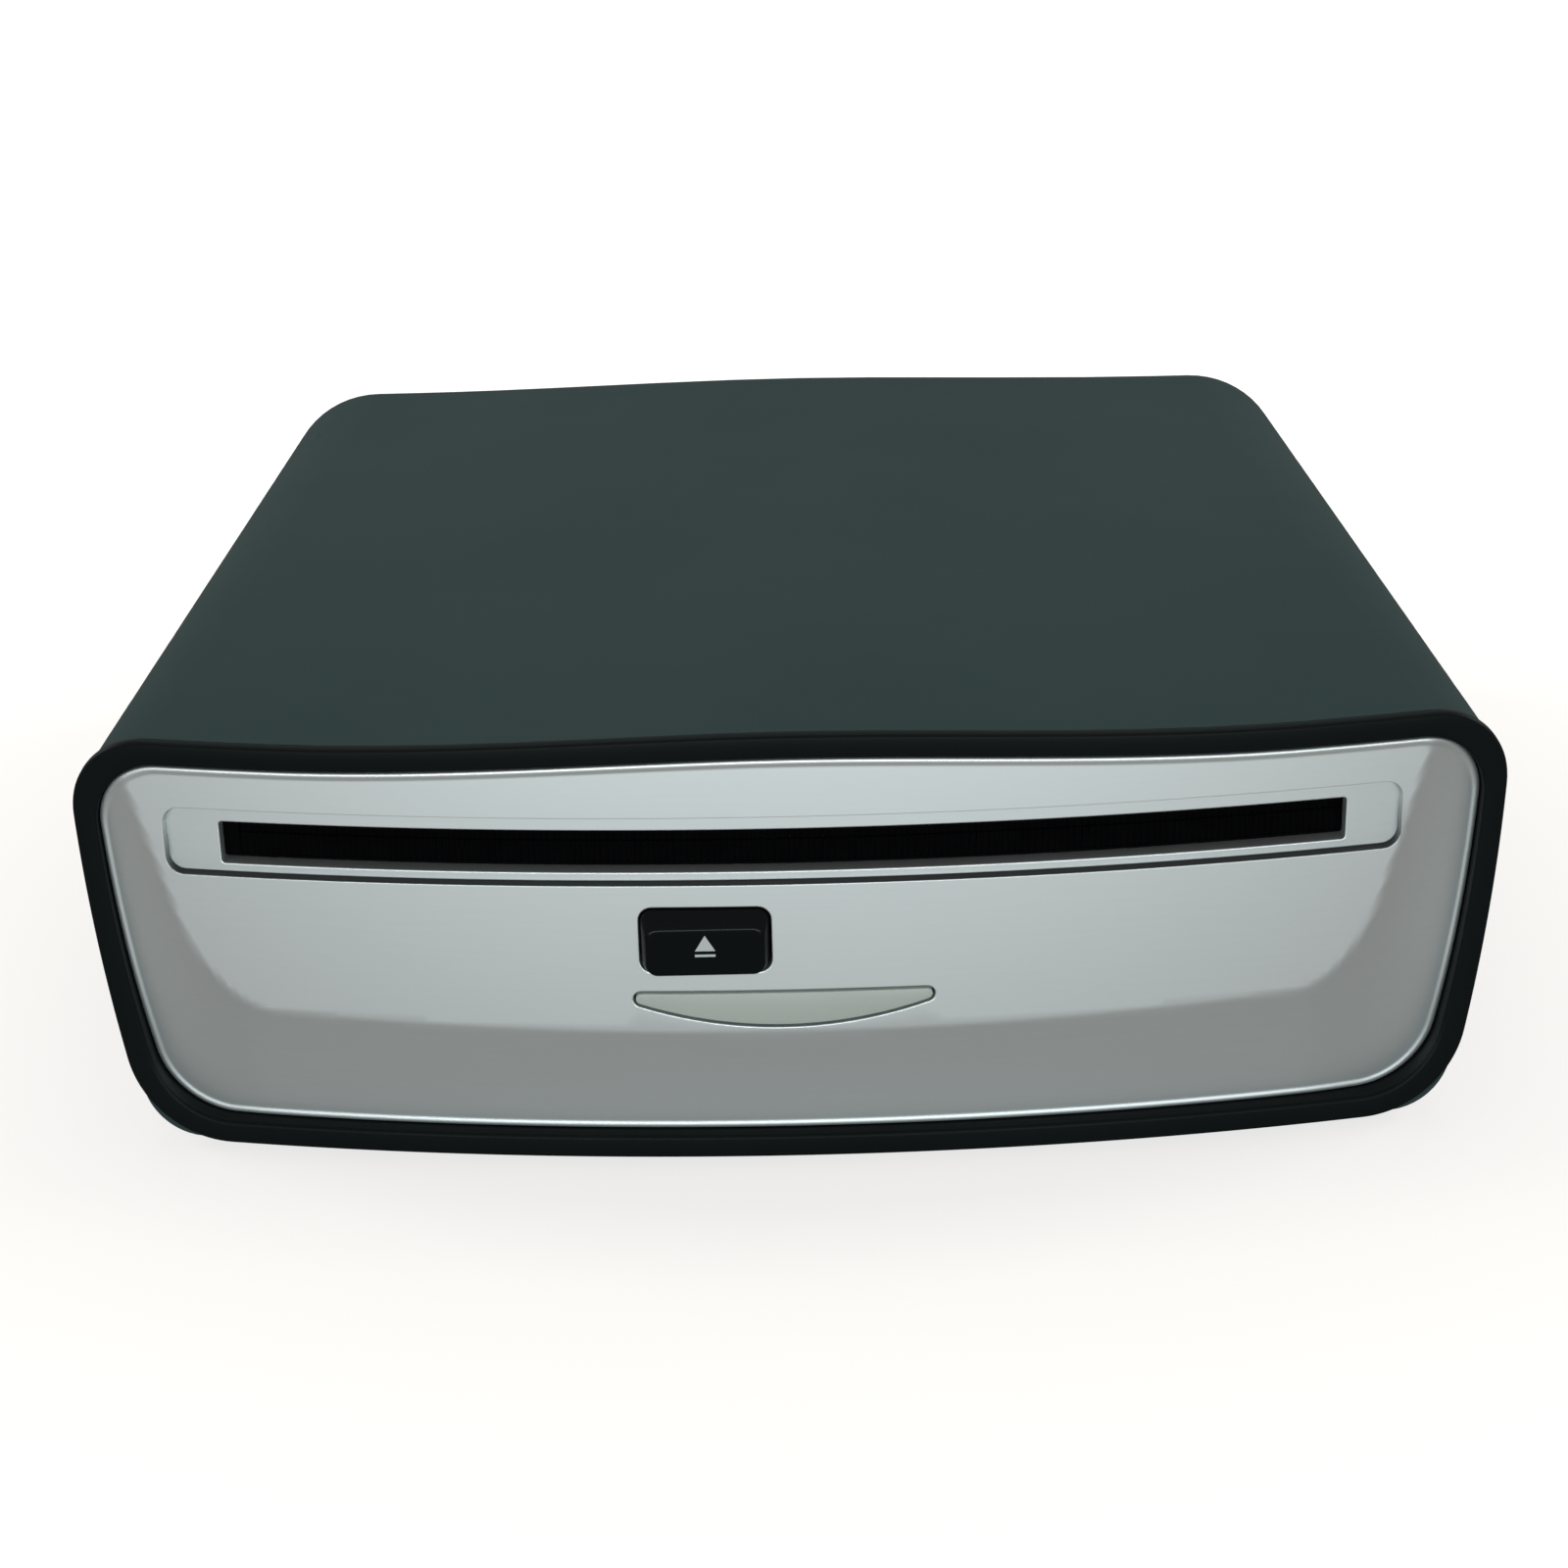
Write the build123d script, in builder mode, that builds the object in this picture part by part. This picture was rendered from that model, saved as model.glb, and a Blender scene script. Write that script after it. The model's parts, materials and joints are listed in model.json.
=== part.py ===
"""A slot-loading disc drive: a bowed silver face in a black rim, a dark crowned cover,
and the loading mechanism behind the slot. Millimetres, X to the right, Y into the depth, Z up.
The origin is at the middle of the base, on the surface that the feet stand on."""

from build123d import *
from math import asin, atan, cos, degrees, pi, radians, sin, sqrt, tan
import os

os.makedirs("parts", exist_ok=True)

# Overall sizes
front_room = 22.0
rear_room = 18.0
top_room = 9.7
bow_radius = 352.0
foot_drop = 1.0
rear_rise = 0.5
side_bulge = 1.4
hump_side = 23.5

# Black rim round the face
housing_side = 17.5
rim_taper = 5.3
rim_crown = 1.95
rim_top_radius = 9.0
rim_low_radius = 12.0
rim_width = 2.8
rim_thickness = 1.2
rim_lip = 0.5
ledge_width = 1.6
ledge_thickness = 1.2

# Housing shells
wall = 2.0
lip_wall = 1.0
front_top_radius = 8.5
rear_top_radius = 15.0
rear_crown = 1.0
rear_narrowing = 2.0
rear_base_narrowing = 1.5
cover_low_radius = 7.0
parting_height = 10.0
shell_gap = 0.1
fit = 0.15

# Silver face panel
plateau_set = 0.3
panel_thickness = 3.4
skirt_depth = 1.8
crease_below_window = 5.15
skirt_bow_less = 18.0
side_crease_inset = 11.1
side_crease_rise = 0.2
side_lean = 0.27
side_skirt_slope = 12.3
skirt_corner_radius = 7.0
bead_width = 0.6
bead_height = 0.35
recess_side = 6.7
recess_below = 1.2
recess_height = 8.1
recess_radius = 2.0
recess_depth = 2.0
slot_side = 3.0
slot_bottom = 35.3
slot_height = 5.0
slot_radius = 0.4
felt_margin = 1.9
felt_thickness = 1.0
felt_lip = 0.3

# Eject button and its switch
button_x = -8.9
button_below_slot = 3.3
button_width = 14.7
button_height = 8.2
button_radius = 1.3
button_proud = 1.7
button_top_bevel = 1.6
button_side_bevel = 0.6
button_low_bevel = 0.15
button_gap = 0.3
button_flange = 1.2
button_flange_thickness = 1.0
stem_radius = 1.6
press_travel = 0.6
icon_width = 2.6
icon_triangle = 1.8
icon_bar = 0.35
icon_gap = 0.35
icon_depth = 0.2
icon_drop = 0.55
switch_side = 6.0
switch_height = 3.2
plunger_radius = 1.7
plunger_height = 1.0
plunger_play = 0.05

# Crescent status window
window_x = -0.2
window_half = 17.2
window_below_button = 2.65
window_sag = 3.7
window_end_radius = 0.7
window_gap = 0.3
led_size = 3.0
led_height = 1.4

# Boards
front_board_half = 29.0
front_board_height = 20.0
board_below_slot = 3.3
front_board_gap = 6.6
board_thickness = 1.6
board_post_radius = 2.6
board_post_x = 24.0
board_beside_mount = 6.0
main_board_set = 40.0
main_board_rear_set = 6.0
main_board_height = 6.0
main_post_inset = 4.0
main_post_rear_inset = 26.0
screw_radius = 1.25
screw_head_radius = 2.4
screw_head_height = 1.4
screw_length = 9.0
chip_side = 14.0
chip_x = -8.0
chip_height = 1.4
capacitor_radius = 2.5
capacitor_height = 4.0
usb_shell = 0.4
ribbon_width = 12.0
ribbon_thickness = 0.3
ribbon_socket_depth = 3.0
ribbon_socket_height = 1.2

# Disc, its path and its place when it plays
disc_radius = 60.0
disc_thickness = 1.2
play_drop = 3.8

# Loader chassis
chassis_side = 4.0
plate = 1.0
chassis_set = 13.0
chassis_rear_set = 10.0
chassis_base = 12.4
wall_above_path = 1.2
nose_above_path = 6.7
nose_length = 19.0
mount_side = 12.0
mount_front_inset = 19.0
mount_rear_inset = 14.0
grommet_radius = 5.0
grommet_neck = 3.0
grommet_flange = 1.0
rear_notch = 12.0

# Roller and its arm
roller_set = 20.0
roller_end_radius = 5.2
roller_mid_radius = 4.2
roller_start = 4.0
roller_short = 2.0
roller_shaft_radius = 1.5
roller_gap = 0.3
roller_drop = 5.5
pivot_behind = 22.0
pivot_below = 5.7
pivot_radius = 1.25
arm_inset = 3.0
arm_thickness = 1.2
arm_height = 6.0
bar_along = 0.4
guide_front = 6.0
guide_rear = 8.0
running = 0.05

# Gear train outside the right wall
module = 0.6
roller_teeth = 16
idler_teeth = 14
wheel_teeth = 26
mesh_play = 0.12
mesh_slack = 0.05
gear_width = 2.4
gear_axle_radius = 1.2
wheel_angle = -16.0
worm_wheel_teeth = 24
worm_wheel_width = 3.0
worm_module = 0.5
worm_pitch_radius = 1.9
worm_core_radius = 1.1
worm_length = 18.0
motor_width = 10.0
motor_height = 12.0
motor_length = 15.0
motor_shaft_radius = 0.75

# Disc clamp
clamp_hinge_inset = 4.0
clamp_above_path = 1.8
clamp_lift = 5.4
clamp_width = 16.0
hinge_above = 2.6
hinge_pin_radius = 1.0
hinge_ear_radius = 2.2
puck_radius = 11.0
puck_height = 2.4
puck_neck_radius = 6.0
puck_cap_radius = 7.5
puck_cap = 0.6
clamp_ear_x = 30.0
clamp_lever_reach = 22.5
lever_strip = 3.0
clamp_flange = 3.5

# Shift slider on the left wall
slider_travel = 12.0
slider_pin_radius = 1.0
slider_play = 0.35
slider_gap = 1.2
slider_below_path = 14.8
slider_height = 10.0
slider_behind_lever = 3.5
riser_length = 20.0
riser_height = 23.0
peg_along = 0.62
stud_radius = 1.5
stud_height = 5.0
stud_front_inset = 37.0
stud_rear_inset = 38.0

# Traverse with the spindle and the pickup
deck_below_disc = 8.4
deck_front_short = 24.0
deck_rear_short = 18.0
deck_right_short = 20.0
deck_post_radius = 2.5
deck_post_inset = 5.0
spindle_motor_radius = 11.0
spindle_motor_height = 4.4
spindle_radius = 1.0
platter_radius = 14.5
platter_thickness = 1.6
pad_thickness = 0.4
hub_radius = 7.45
hub_height = 2.0
rod_radius = 1.5
rod_spread = 21.0
rod_above_deck = 3.0
lens_start = 23.5
lens_margin = 2.5
lens_radius = 3.4
screw_offset = 5.5
lead_radius = 1.2
sled_motor_radius = 4.5
sled_motor_length = 14.0
sled_motor_x = 2.0
sled_inner = 10.5
sled_outer = 4.5
sled_half = 15.0
sled_thickness = 4.1
sled_float = 0.4
lens_height = 1.3
lens_gap = 0.6
holder_length = 2.5

# Rear
rear_inset = 1.5
usb_x = -22.0
usb_width = 13.2
usb_height = 5.8
usb_length = 14.0
inlet_x = 20.0
inlet_width = 9.0
inlet_height = 11.0
inlet_length = 12.0
inlet_bore = 3.15
inlet_pin = 1.0
vent_count = 9
vent_pitch = 5.0
vent_width = 1.8
vent_height = 12.0
boss_radius = 2.9
boss_front_side = 9.1
boss_front_set = 19.0
boss_rear_side = 10.0
boss_rear_set = 18.0
foot_radius = 6.0
foot_side = 18.2
foot_front_set = 28.0
foot_rear_set = 22.0

# Places worked out from the sizes above
base_z = foot_drop
shoulder_height = slot_bottom + slot_height + top_room
tall = 4 * shoulder_height
depth = front_room + 2 * disc_radius + rear_room
chassis_half = disc_radius + chassis_side
rim_half = chassis_half + housing_side
rim_base_half = rim_half - rim_taper
hump_half = rim_half - hump_side
rear_half = rim_half - rim_lip - rear_narrowing
rear_base_half = rim_base_half - rim_lip - rear_base_narrowing
rear_height = shoulder_height + rear_rise
button_bottom = slot_bottom - button_height - button_below_slot
window_top = button_bottom - window_below_button
skirt_crease = window_top - crease_below_window
side_crease_x = rim_half - side_crease_inset
side_crease_z = slot_bottom + side_crease_rise
skirt_bow_radius = bow_radius - skirt_bow_less
front_board_top = slot_bottom - board_below_slot
front_board_bottom = front_board_top - front_board_height
button_bow = bow_radius - sqrt(bow_radius ** 2 - button_x ** 2)
overhang = button_proud - plateau_set - button_bow
front_y = (overhang - depth) / 2
rear_y = front_y + depth
bow_centre_y = front_y + bow_radius
slot_half = disc_radius + slot_side
recess_half = slot_half + recess_side
recess_bottom = slot_bottom - recess_below
path_z = base_z + slot_bottom + slot_height / 2
disc_under = path_z - disc_thickness / 2
play_z = disc_under - play_drop
disc_y = front_y + front_room + disc_radius
chassis_front = front_y + chassis_set
chassis_rear = rear_y - chassis_rear_set
chassis_nose_rear = chassis_front + nose_length
chassis_z = base_z + chassis_base
wall_top_z = path_z + wall_above_path
nose_top_z = path_z + nose_above_path
mount_x = chassis_half - mount_side
main_board_half = mount_x - board_beside_mount
mount_front = chassis_front + mount_front_inset
mount_rear = chassis_rear - mount_rear_inset
roller_y = front_y + roller_set
roller_z = disc_under - roller_gap - roller_end_radius
roller_end = disc_radius - roller_short
pivot_y = roller_y + pivot_behind
pivot_z = roller_z - pivot_below
arm_x = chassis_half - arm_inset
clamp_hinge_y = chassis_rear - clamp_hinge_inset
clamp_lever_y = clamp_hinge_y - clamp_lever_reach
clamp_low_z = path_z + clamp_above_path
hinge_z = clamp_low_z + hinge_above
slider_rear = clamp_lever_y + slider_behind_lever
slider_riser_front = slider_rear - riser_length
slider_low_z = path_z - slider_below_path
slider_high_z = slider_low_z + slider_height
slider_riser_z = slider_low_z + riser_height
stud_z = slider_low_z + stud_height
stud_front_y = chassis_front + stud_front_inset
stud_rear_y = slider_rear - stud_rear_inset
deck_z = play_z - deck_below_disc
deck_front = disc_y - disc_radius + deck_front_short
deck_rear = disc_y + disc_radius - deck_rear_short
deck_right = disc_radius - deck_right_short
lens_travel = disc_radius - lens_margin - lens_start
rod_z = deck_z + rod_above_deck
main_board_z = base_z + main_board_height
main_board_front = front_y + main_board_set
main_board_rear = rear_y - main_board_rear_set
main_post_x = main_board_half - main_post_inset
main_post_front = main_board_front + main_post_inset
main_post_rear = main_board_rear - main_post_rear_inset
boss_front_x = rim_half - boss_front_side
boss_front_y = front_y + boss_front_set
boss_rear_x = rim_half - boss_rear_side
boss_rear_y = rear_y - boss_rear_set
foot_x = rim_base_half - foot_side
foot_front_y = front_y + foot_front_set
foot_rear_y = rear_y - foot_rear_set


def bow_y(x, setback=0.0):
    """Depth of the bowed face at x, set back by setback."""
    return bow_centre_y - sqrt((bow_radius - setback) ** 2 - x ** 2)


def outline(plane, half, base_half, base, shoulder, crown, top_radius, low_radius):
    """Cross-section of the housing: leaning sides, flat base, a hump over flat shoulders."""
    with BuildSketch(plane) as section:
        with BuildLine():
            middle_half = (half + base_half) / 2 + side_bulge
            middle = (base + shoulder) / 2
            Line((-base_half, base), (base_half, base))
            ThreePointArc((base_half, base), (middle_half, middle), (half, shoulder))
            Line((half, shoulder), (hump_half, shoulder))
            Spline((hump_half, shoulder), (0, shoulder + crown), (-hump_half, shoulder),
                   tangents=[(-1, 0), (-1, 0)])
            Line((-hump_half, shoulder), (-half, shoulder))
            ThreePointArc((-half, shoulder), (-middle_half, middle), (-base_half, base))
        make_face()
        fillet(section.vertices().group_by(Axis.Y)[0], low_radius)
        upper = section.vertices().sort_by(Axis.X)
        fillet([upper[0], upper[-1]], top_radius)
    return section.sketch


def rim_outline(inset):
    """The rim's outline moved inward by inset."""
    return outline(
        Plane.XZ,
        rim_half - inset,
        rim_base_half - inset,
        base_z + inset,
        base_z + shoulder_height - inset,
        rim_crown,
        rim_top_radius - inset / 2,
        rim_low_radius - inset / 2,
    )


def bowed_plate(face, front, back):
    """The outline face as a plate between two bowed surfaces, set back by front and back."""
    with BuildPart() as bowed:
        extrude(face, amount=-front_y + wall, dir=(0, -1, 0))
        with Locations((0, bow_centre_y, 0)):
            Cylinder(bow_radius - front, tall, mode=Mode.INTERSECT)
            Cylinder(bow_radius - back, tall, mode=Mode.SUBTRACT)
    return bowed.part


def rear_outline(plane, inset):
    """The housing's rear section moved inward by inset."""
    return outline(
        plane,
        rear_half - inset,
        rear_base_half - inset,
        base_z + inset,
        base_z + rear_height - inset,
        rear_crown,
        rear_top_radius - inset,
        cover_low_radius - inset,
    )


def save(piece, name):
    """Label a piece and write it as its own file."""
    piece.label = name
    export_step(piece, f"parts/{name}.step")


# Black rim: a bowed flange, a tube that enters the shells and a ledge behind the panel
panel_inset = rim_width + fit
tube_inset = rim_lip + lip_wall + fit
panel_back = plateau_set + panel_thickness
ledge_front = panel_back + fit
ledge_back = ledge_front + ledge_thickness
with BuildPart() as bezel_frame:
    add(bowed_plate(rim_outline(0) - rim_outline(rim_width), 0, rim_thickness))
    add(bowed_plate(rim_outline(tube_inset) - rim_outline(rim_width), rim_thickness / 2, ledge_back))
    add(bowed_plate(
        rim_outline(tube_inset) - rim_outline(rim_width + ledge_width), ledge_front, ledge_back
    ))
save(bezel_frame.part, "bezel_frame")

# Form of the face: a bowed plateau with a skirt falling away below it and at its sides
crease_z = base_z + skirt_crease
skirt_slope = skirt_depth / (skirt_crease - panel_inset)
plateau_y = front_y + plateau_set
crease_x = side_crease_x + side_lean * (skirt_crease - side_crease_z)
crease_y = bow_y(crease_x, plateau_set)
crease_tangent = crease_x / bow_radius
slope_side = tan(asin(crease_tangent) + radians(side_skirt_slope))
reach = rim_half - crease_x + wall
with BuildPart() as face_form:
    with BuildSketch(Plane.XZ):
        with Locations((0, base_z + shoulder_height / 2)):
            Rectangle(2 * (rim_half + wall), shoulder_height + 4 * wall)
    extrude(amount=-front_y + wall)
    with Locations((0, bow_centre_y, 0)):
        Cylinder(bow_radius - plateau_set, tall, mode=Mode.INTERSECT)
        Cylinder(bow_radius - panel_back, tall, mode=Mode.SUBTRACT)
    with BuildSketch(Plane.YZ):
        with BuildLine():
            Polyline(
                (plateau_y + skirt_slope * (crease_z + wall), -wall),
                (plateau_y - skirt_slope * skirt_crease, crease_z + skirt_crease),
                (plateau_y - 2 * wall, crease_z + skirt_crease),
                (plateau_y - 2 * wall, -wall),
                close=True,
            )
        make_face()
    revolve(axis=Axis((0, plateau_y + skirt_bow_radius, 0), (0, 0, 1)), mode=Mode.SUBTRACT)
    for side in (-1, 1):
        with BuildSketch(Plane.XY.offset(crease_z - skirt_crease)):
            with BuildLine():
                start = crease_x - side_lean * skirt_crease
                start_y = crease_y - side_lean * skirt_crease * crease_tangent
                Polyline(
                    (side * (start - reach), start_y - reach * slope_side),
                    (side * (start + 2 * reach), start_y + 2 * reach * slope_side),
                    (side * (start + 2 * reach), start_y - reach),
                    (side * (start - reach), start_y - reach),
                    close=True,
                )
            make_face()
        extrude(
            amount=2 * shoulder_height,
            dir=(side * side_lean, side_lean * crease_tangent, 1),
            mode=Mode.SUBTRACT,
        )
    for side in (-1, 1):
        corner = (side * (crease_x + wall), crease_y, crease_z - wall)
        fillet(face_form.edges().sort_by_distance(corner)[0], skirt_corner_radius)

# Silver panel: the form inside the rim, with a raised bead along its edge
button_centre = (button_x, base_z + button_bottom + button_height / 2)
recess_centre = (0, base_z + recess_bottom + recess_height / 2)
slot_centre = (0, path_z)


def rounded(centre, width, height, radius):
    """Rounded rectangle on the face, seen from the front."""
    with BuildSketch(Plane.XZ) as shape:
        with Locations(centre):
            RectangleRounded(width, height, radius)
    return shape.sketch


def crescent(grow):
    """Outline of the status window: flat top, round ends and an arc below, grown by grow."""
    half = window_half + grow
    top = base_z + window_top + grow
    with BuildSketch(Plane.XZ) as shape:
        with BuildLine():
            end_drop = 2 * (window_end_radius + grow)
            Line((window_x - half, top), (window_x + half, top))
            Line((window_x + half, top), (window_x + half, top - end_drop))
            ThreePointArc(
                (window_x + half, top - end_drop),
                (window_x, top - window_sag - 2 * grow),
                (window_x - half, top - end_drop),
            )
            Line((window_x - half, top - end_drop), (window_x - half, top))
        make_face()
        fillet(shape.vertices(), (window_end_radius + grow) * 0.95)
    return shape.sketch


front_board_y = front_y + panel_back + front_board_gap
board_post_z = base_z + front_board_top - board_post_radius - wall
board_posts = [(side * board_post_x, board_post_z) for side in (-1, 1)]
bead_block = extrude(
    rim_outline(panel_inset) - rim_outline(panel_inset + bead_width), -front_y + wall, dir=(0, -1, 0)
)
bead = face_form.part.moved(Location((0, -bead_height, 0))) & bead_block
with BuildPart() as face_panel:
    add(face_form.part)
    with BuildSketch(Plane.XZ):
        add(rim_outline(panel_inset + bead_width))
    extrude(amount=-front_y + wall, mode=Mode.INTERSECT)
    add(bead)
    add(
        bowed_plate(
            rounded(recess_centre, 2 * recess_half, recess_height, recess_radius),
            -wall,
            plateau_set + recess_depth,
        ),
        mode=Mode.SUBTRACT,
    )
    with BuildSketch(Plane.XZ):
        add(rounded(slot_centre, 2 * slot_half, slot_height, slot_radius))
        add(rounded(
            button_centre,
            button_width + 2 * button_gap,
            button_height + 2 * button_gap,
            button_radius + button_gap,
        ))
        add(crescent(window_gap))
    extrude(amount=-front_y + wall, mode=Mode.SUBTRACT)
    with BuildSketch(Plane.XZ.offset(-front_board_y)):
        with Locations(*board_posts):
            Circle(board_post_radius)
            Circle(screw_radius, mode=Mode.SUBTRACT)
    extrude(amount=front_board_y - bow_y(board_post_x - board_post_radius, panel_back) + wall / 4)
save(face_panel.part, "face_panel")

# Felt frame behind the slot, which keeps dust out and leaves the disc its way
felt_back = panel_back + felt_thickness
felt_outer = rounded(
    slot_centre, 2 * (slot_half + felt_margin), slot_height + 2 * felt_margin, slot_radius
)
felt_inner = rounded(slot_centre, 2 * (slot_half - felt_lip), slot_height - 2 * felt_lip, slot_radius)
with BuildPart() as slot_felt:
    add(bowed_plate(felt_outer - felt_inner, panel_back, felt_back))
save(slot_felt.part, "slot_felt")

# Eject button: a bevelled cap, a flange behind the panel and a stem to the switch
panel_front_y = bow_y(abs(button_x), plateau_set)
button_front_y = panel_front_y - button_proud
flange_front_y = bow_y(abs(button_x) + button_width / 2, panel_back) + 2 * fit
switch_front_y = front_board_y - switch_height
with BuildPart() as eject_button:
    with BuildSketch(Plane.XZ.offset(-flange_front_y)):
        with Locations(button_centre):
            RectangleRounded(button_width, button_height, button_radius)
    extrude(amount=flange_front_y - panel_front_y)
    with BuildSketch(Plane.XZ.offset(-panel_front_y)):
        with Locations(button_centre):
            RectangleRounded(button_width, button_height, button_radius)
    with BuildSketch(Plane.XZ.offset(-button_front_y)):
        with Locations((button_x, button_centre[1] - (button_top_bevel - button_low_bevel) / 2)):
            RectangleRounded(
                button_width - 2 * button_side_bevel,
                button_height - button_top_bevel - button_low_bevel,
                button_radius,
            )
    loft()
    with BuildSketch(Plane.XZ.offset(-flange_front_y)):
        add(rounded(
            button_centre,
            button_width + 2 * button_flange,
            button_height + 2 * button_flange,
            button_radius + button_flange,
        ))
    extrude(amount=-button_flange_thickness)
    with BuildSketch(Plane.XZ.offset(-flange_front_y)):
        with Locations(button_centre):
            Circle(stem_radius)
    extrude(amount=-(switch_front_y - plunger_height - flange_front_y))
    icon_z = button_centre[1] - icon_drop
    with BuildSketch(Plane.XZ.offset(-button_front_y)) as icon_shape:
        with BuildLine():
            Polyline(
                (button_x - icon_width / 2, icon_z),
                (button_x + icon_width / 2, icon_z),
                (button_x, icon_z + icon_triangle),
                close=True,
            )
        make_face()
        with Locations((button_x, icon_z - icon_gap - icon_bar / 2)):
            Rectangle(icon_width, icon_bar)
    extrude(amount=-icon_depth, mode=Mode.SUBTRACT)
save(eject_button.part, "eject_button")

with BuildPart() as eject_icon:
    extrude(icon_shape.sketch, amount=-icon_depth)
save(eject_icon.part, "eject_icon")

# Front board with its switch, plunger and status lamp
front_board_middle = (front_board_bottom + front_board_top) / 2
with BuildPart() as front_board:
    with BuildSketch(Plane.XZ.offset(-front_board_y)):
        with Locations((0, base_z + front_board_middle)):
            Rectangle(2 * front_board_half, front_board_top - front_board_bottom)
        with Locations(*board_posts):
            Circle(screw_radius + fit, mode=Mode.SUBTRACT)
    extrude(amount=-board_thickness)
save(front_board.part, "front_board")

with BuildPart() as eject_switch:
    with BuildSketch(Plane.XZ.offset(-front_board_y)):
        with Locations(button_centre):
            Rectangle(switch_side, switch_side)
    extrude(amount=switch_height)
    with BuildSketch(Plane.XZ.offset(-switch_front_y)):
        with Locations(button_centre):
            Circle(plunger_radius + plunger_play)
    extrude(amount=-(press_travel + fit), mode=Mode.SUBTRACT)
save(eject_switch.part, "eject_switch")

with BuildPart() as switch_plunger:
    with BuildSketch(Plane.XZ.offset(-switch_front_y)):
        with Locations(button_centre):
            Circle(plunger_radius)
    extrude(amount=plunger_height)
save(switch_plunger.part, "switch_plunger")

with BuildPart() as status_lamp:
    with BuildSketch(Plane.XZ.offset(-front_board_y)):
        with Locations((window_x, base_z + window_top - window_sag / 2)):
            Rectangle(led_size, led_size)
    extrude(amount=led_height)
save(status_lamp.part, "status_lamp")

with BuildPart() as status_window:
    add(bowed_plate(crescent(0), plateau_set, panel_back))
    with BuildSketch(Plane.XZ.offset(-(front_board_y - led_height - fit))):
        with Locations((window_x, base_z + window_top - window_sag / 2)):
            Circle(led_size / 2)
    extrude(amount=front_board_y - led_height - fit - front_y - panel_back + wall / 4)
save(status_window.part, "status_window")


def screw(plane, points, head_radius, head_height, shank_radius, length):
    """Pan-head screws whose heads stand on the plane and whose shanks go back from it."""
    with BuildPart() as fastener:
        with BuildSketch(plane):
            with Locations(*points):
                Circle(head_radius)
        extrude(amount=head_height)
        with BuildSketch(plane):
            with Locations(*points):
                Circle(shank_radius)
        extrude(amount=-length)
    return fastener.part


save(
    screw(
        Plane((0, front_board_y + board_thickness, 0), x_dir=(-1, 0, 0), z_dir=(0, 1, 0)),
        board_posts,
        screw_head_radius,
        screw_head_height,
        screw_radius,
        board_thickness + screw_length / 3,
    ),
    "front_board_screws",
)

# Shells: one crowned body cut at the parting height, thinned where the rim's tube enters
front_outline = outline(
    Plane.XZ.offset(-front_y),
    rim_half - rim_lip,
    rim_base_half - rim_lip,
    base_z,
    base_z + shoulder_height,
    rim_crown,
    front_top_radius,
    cover_low_radius,
)
outer_body = loft([front_outline, rear_outline(Plane.XZ.offset(-rear_y), 0)])
inner_body = extrude(rear_outline(Plane.XZ.offset(-rear_y), wall), amount=depth)
rebate = bowed_plate(rim_outline(rim_lip + lip_wall), 0, ledge_back + fit)
parting_z = base_z + parting_height
boss_points = [
    (side * x, y)
    for side in (-1, 1)
    for x, y in ((boss_front_x, boss_front_y), (boss_rear_x, boss_rear_y))
]
foot_points = [(side * foot_x, y) for side in (-1, 1) for y in (foot_front_y, foot_rear_y)]
mount_points = [(side * mount_x, y) for side in (-1, 1) for y in (mount_front, mount_rear)]
board_points = [(side * main_post_x, y) for side in (-1, 1) for y in (main_post_front, main_post_rear)]
rear_plate_y = rear_y - rear_inset
usb_z = main_board_z + board_thickness + usb_height / 2
inlet_z = main_board_z + board_thickness + inlet_height / 2

with BuildPart() as top_cover:
    add(outer_body)
    add(inner_body, mode=Mode.SUBTRACT)
    add(rebate, mode=Mode.SUBTRACT)
    with Locations((0, bow_centre_y, 0)):
        Cylinder(bow_radius - rim_thickness - shell_gap, tall, mode=Mode.INTERSECT)
    with BuildSketch(Plane.XY.offset(parting_z)):
        with Locations(*boss_points):
            Circle(boss_radius)
    extrude(amount=shoulder_height - parting_height - wall / 2)
    with BuildSketch(Plane.XY.offset(parting_z)):
        with Locations(*boss_points):
            Circle(screw_radius)
    extrude(amount=screw_length, mode=Mode.SUBTRACT)
    with BuildSketch(Plane.XY.offset(parting_z)):
        Rectangle(4 * rim_half, 4 * depth)
    extrude(amount=-2 * parting_height, mode=Mode.SUBTRACT)
    add(outer_body, mode=Mode.INTERSECT)
save(top_cover.part, "top_cover")

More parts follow.
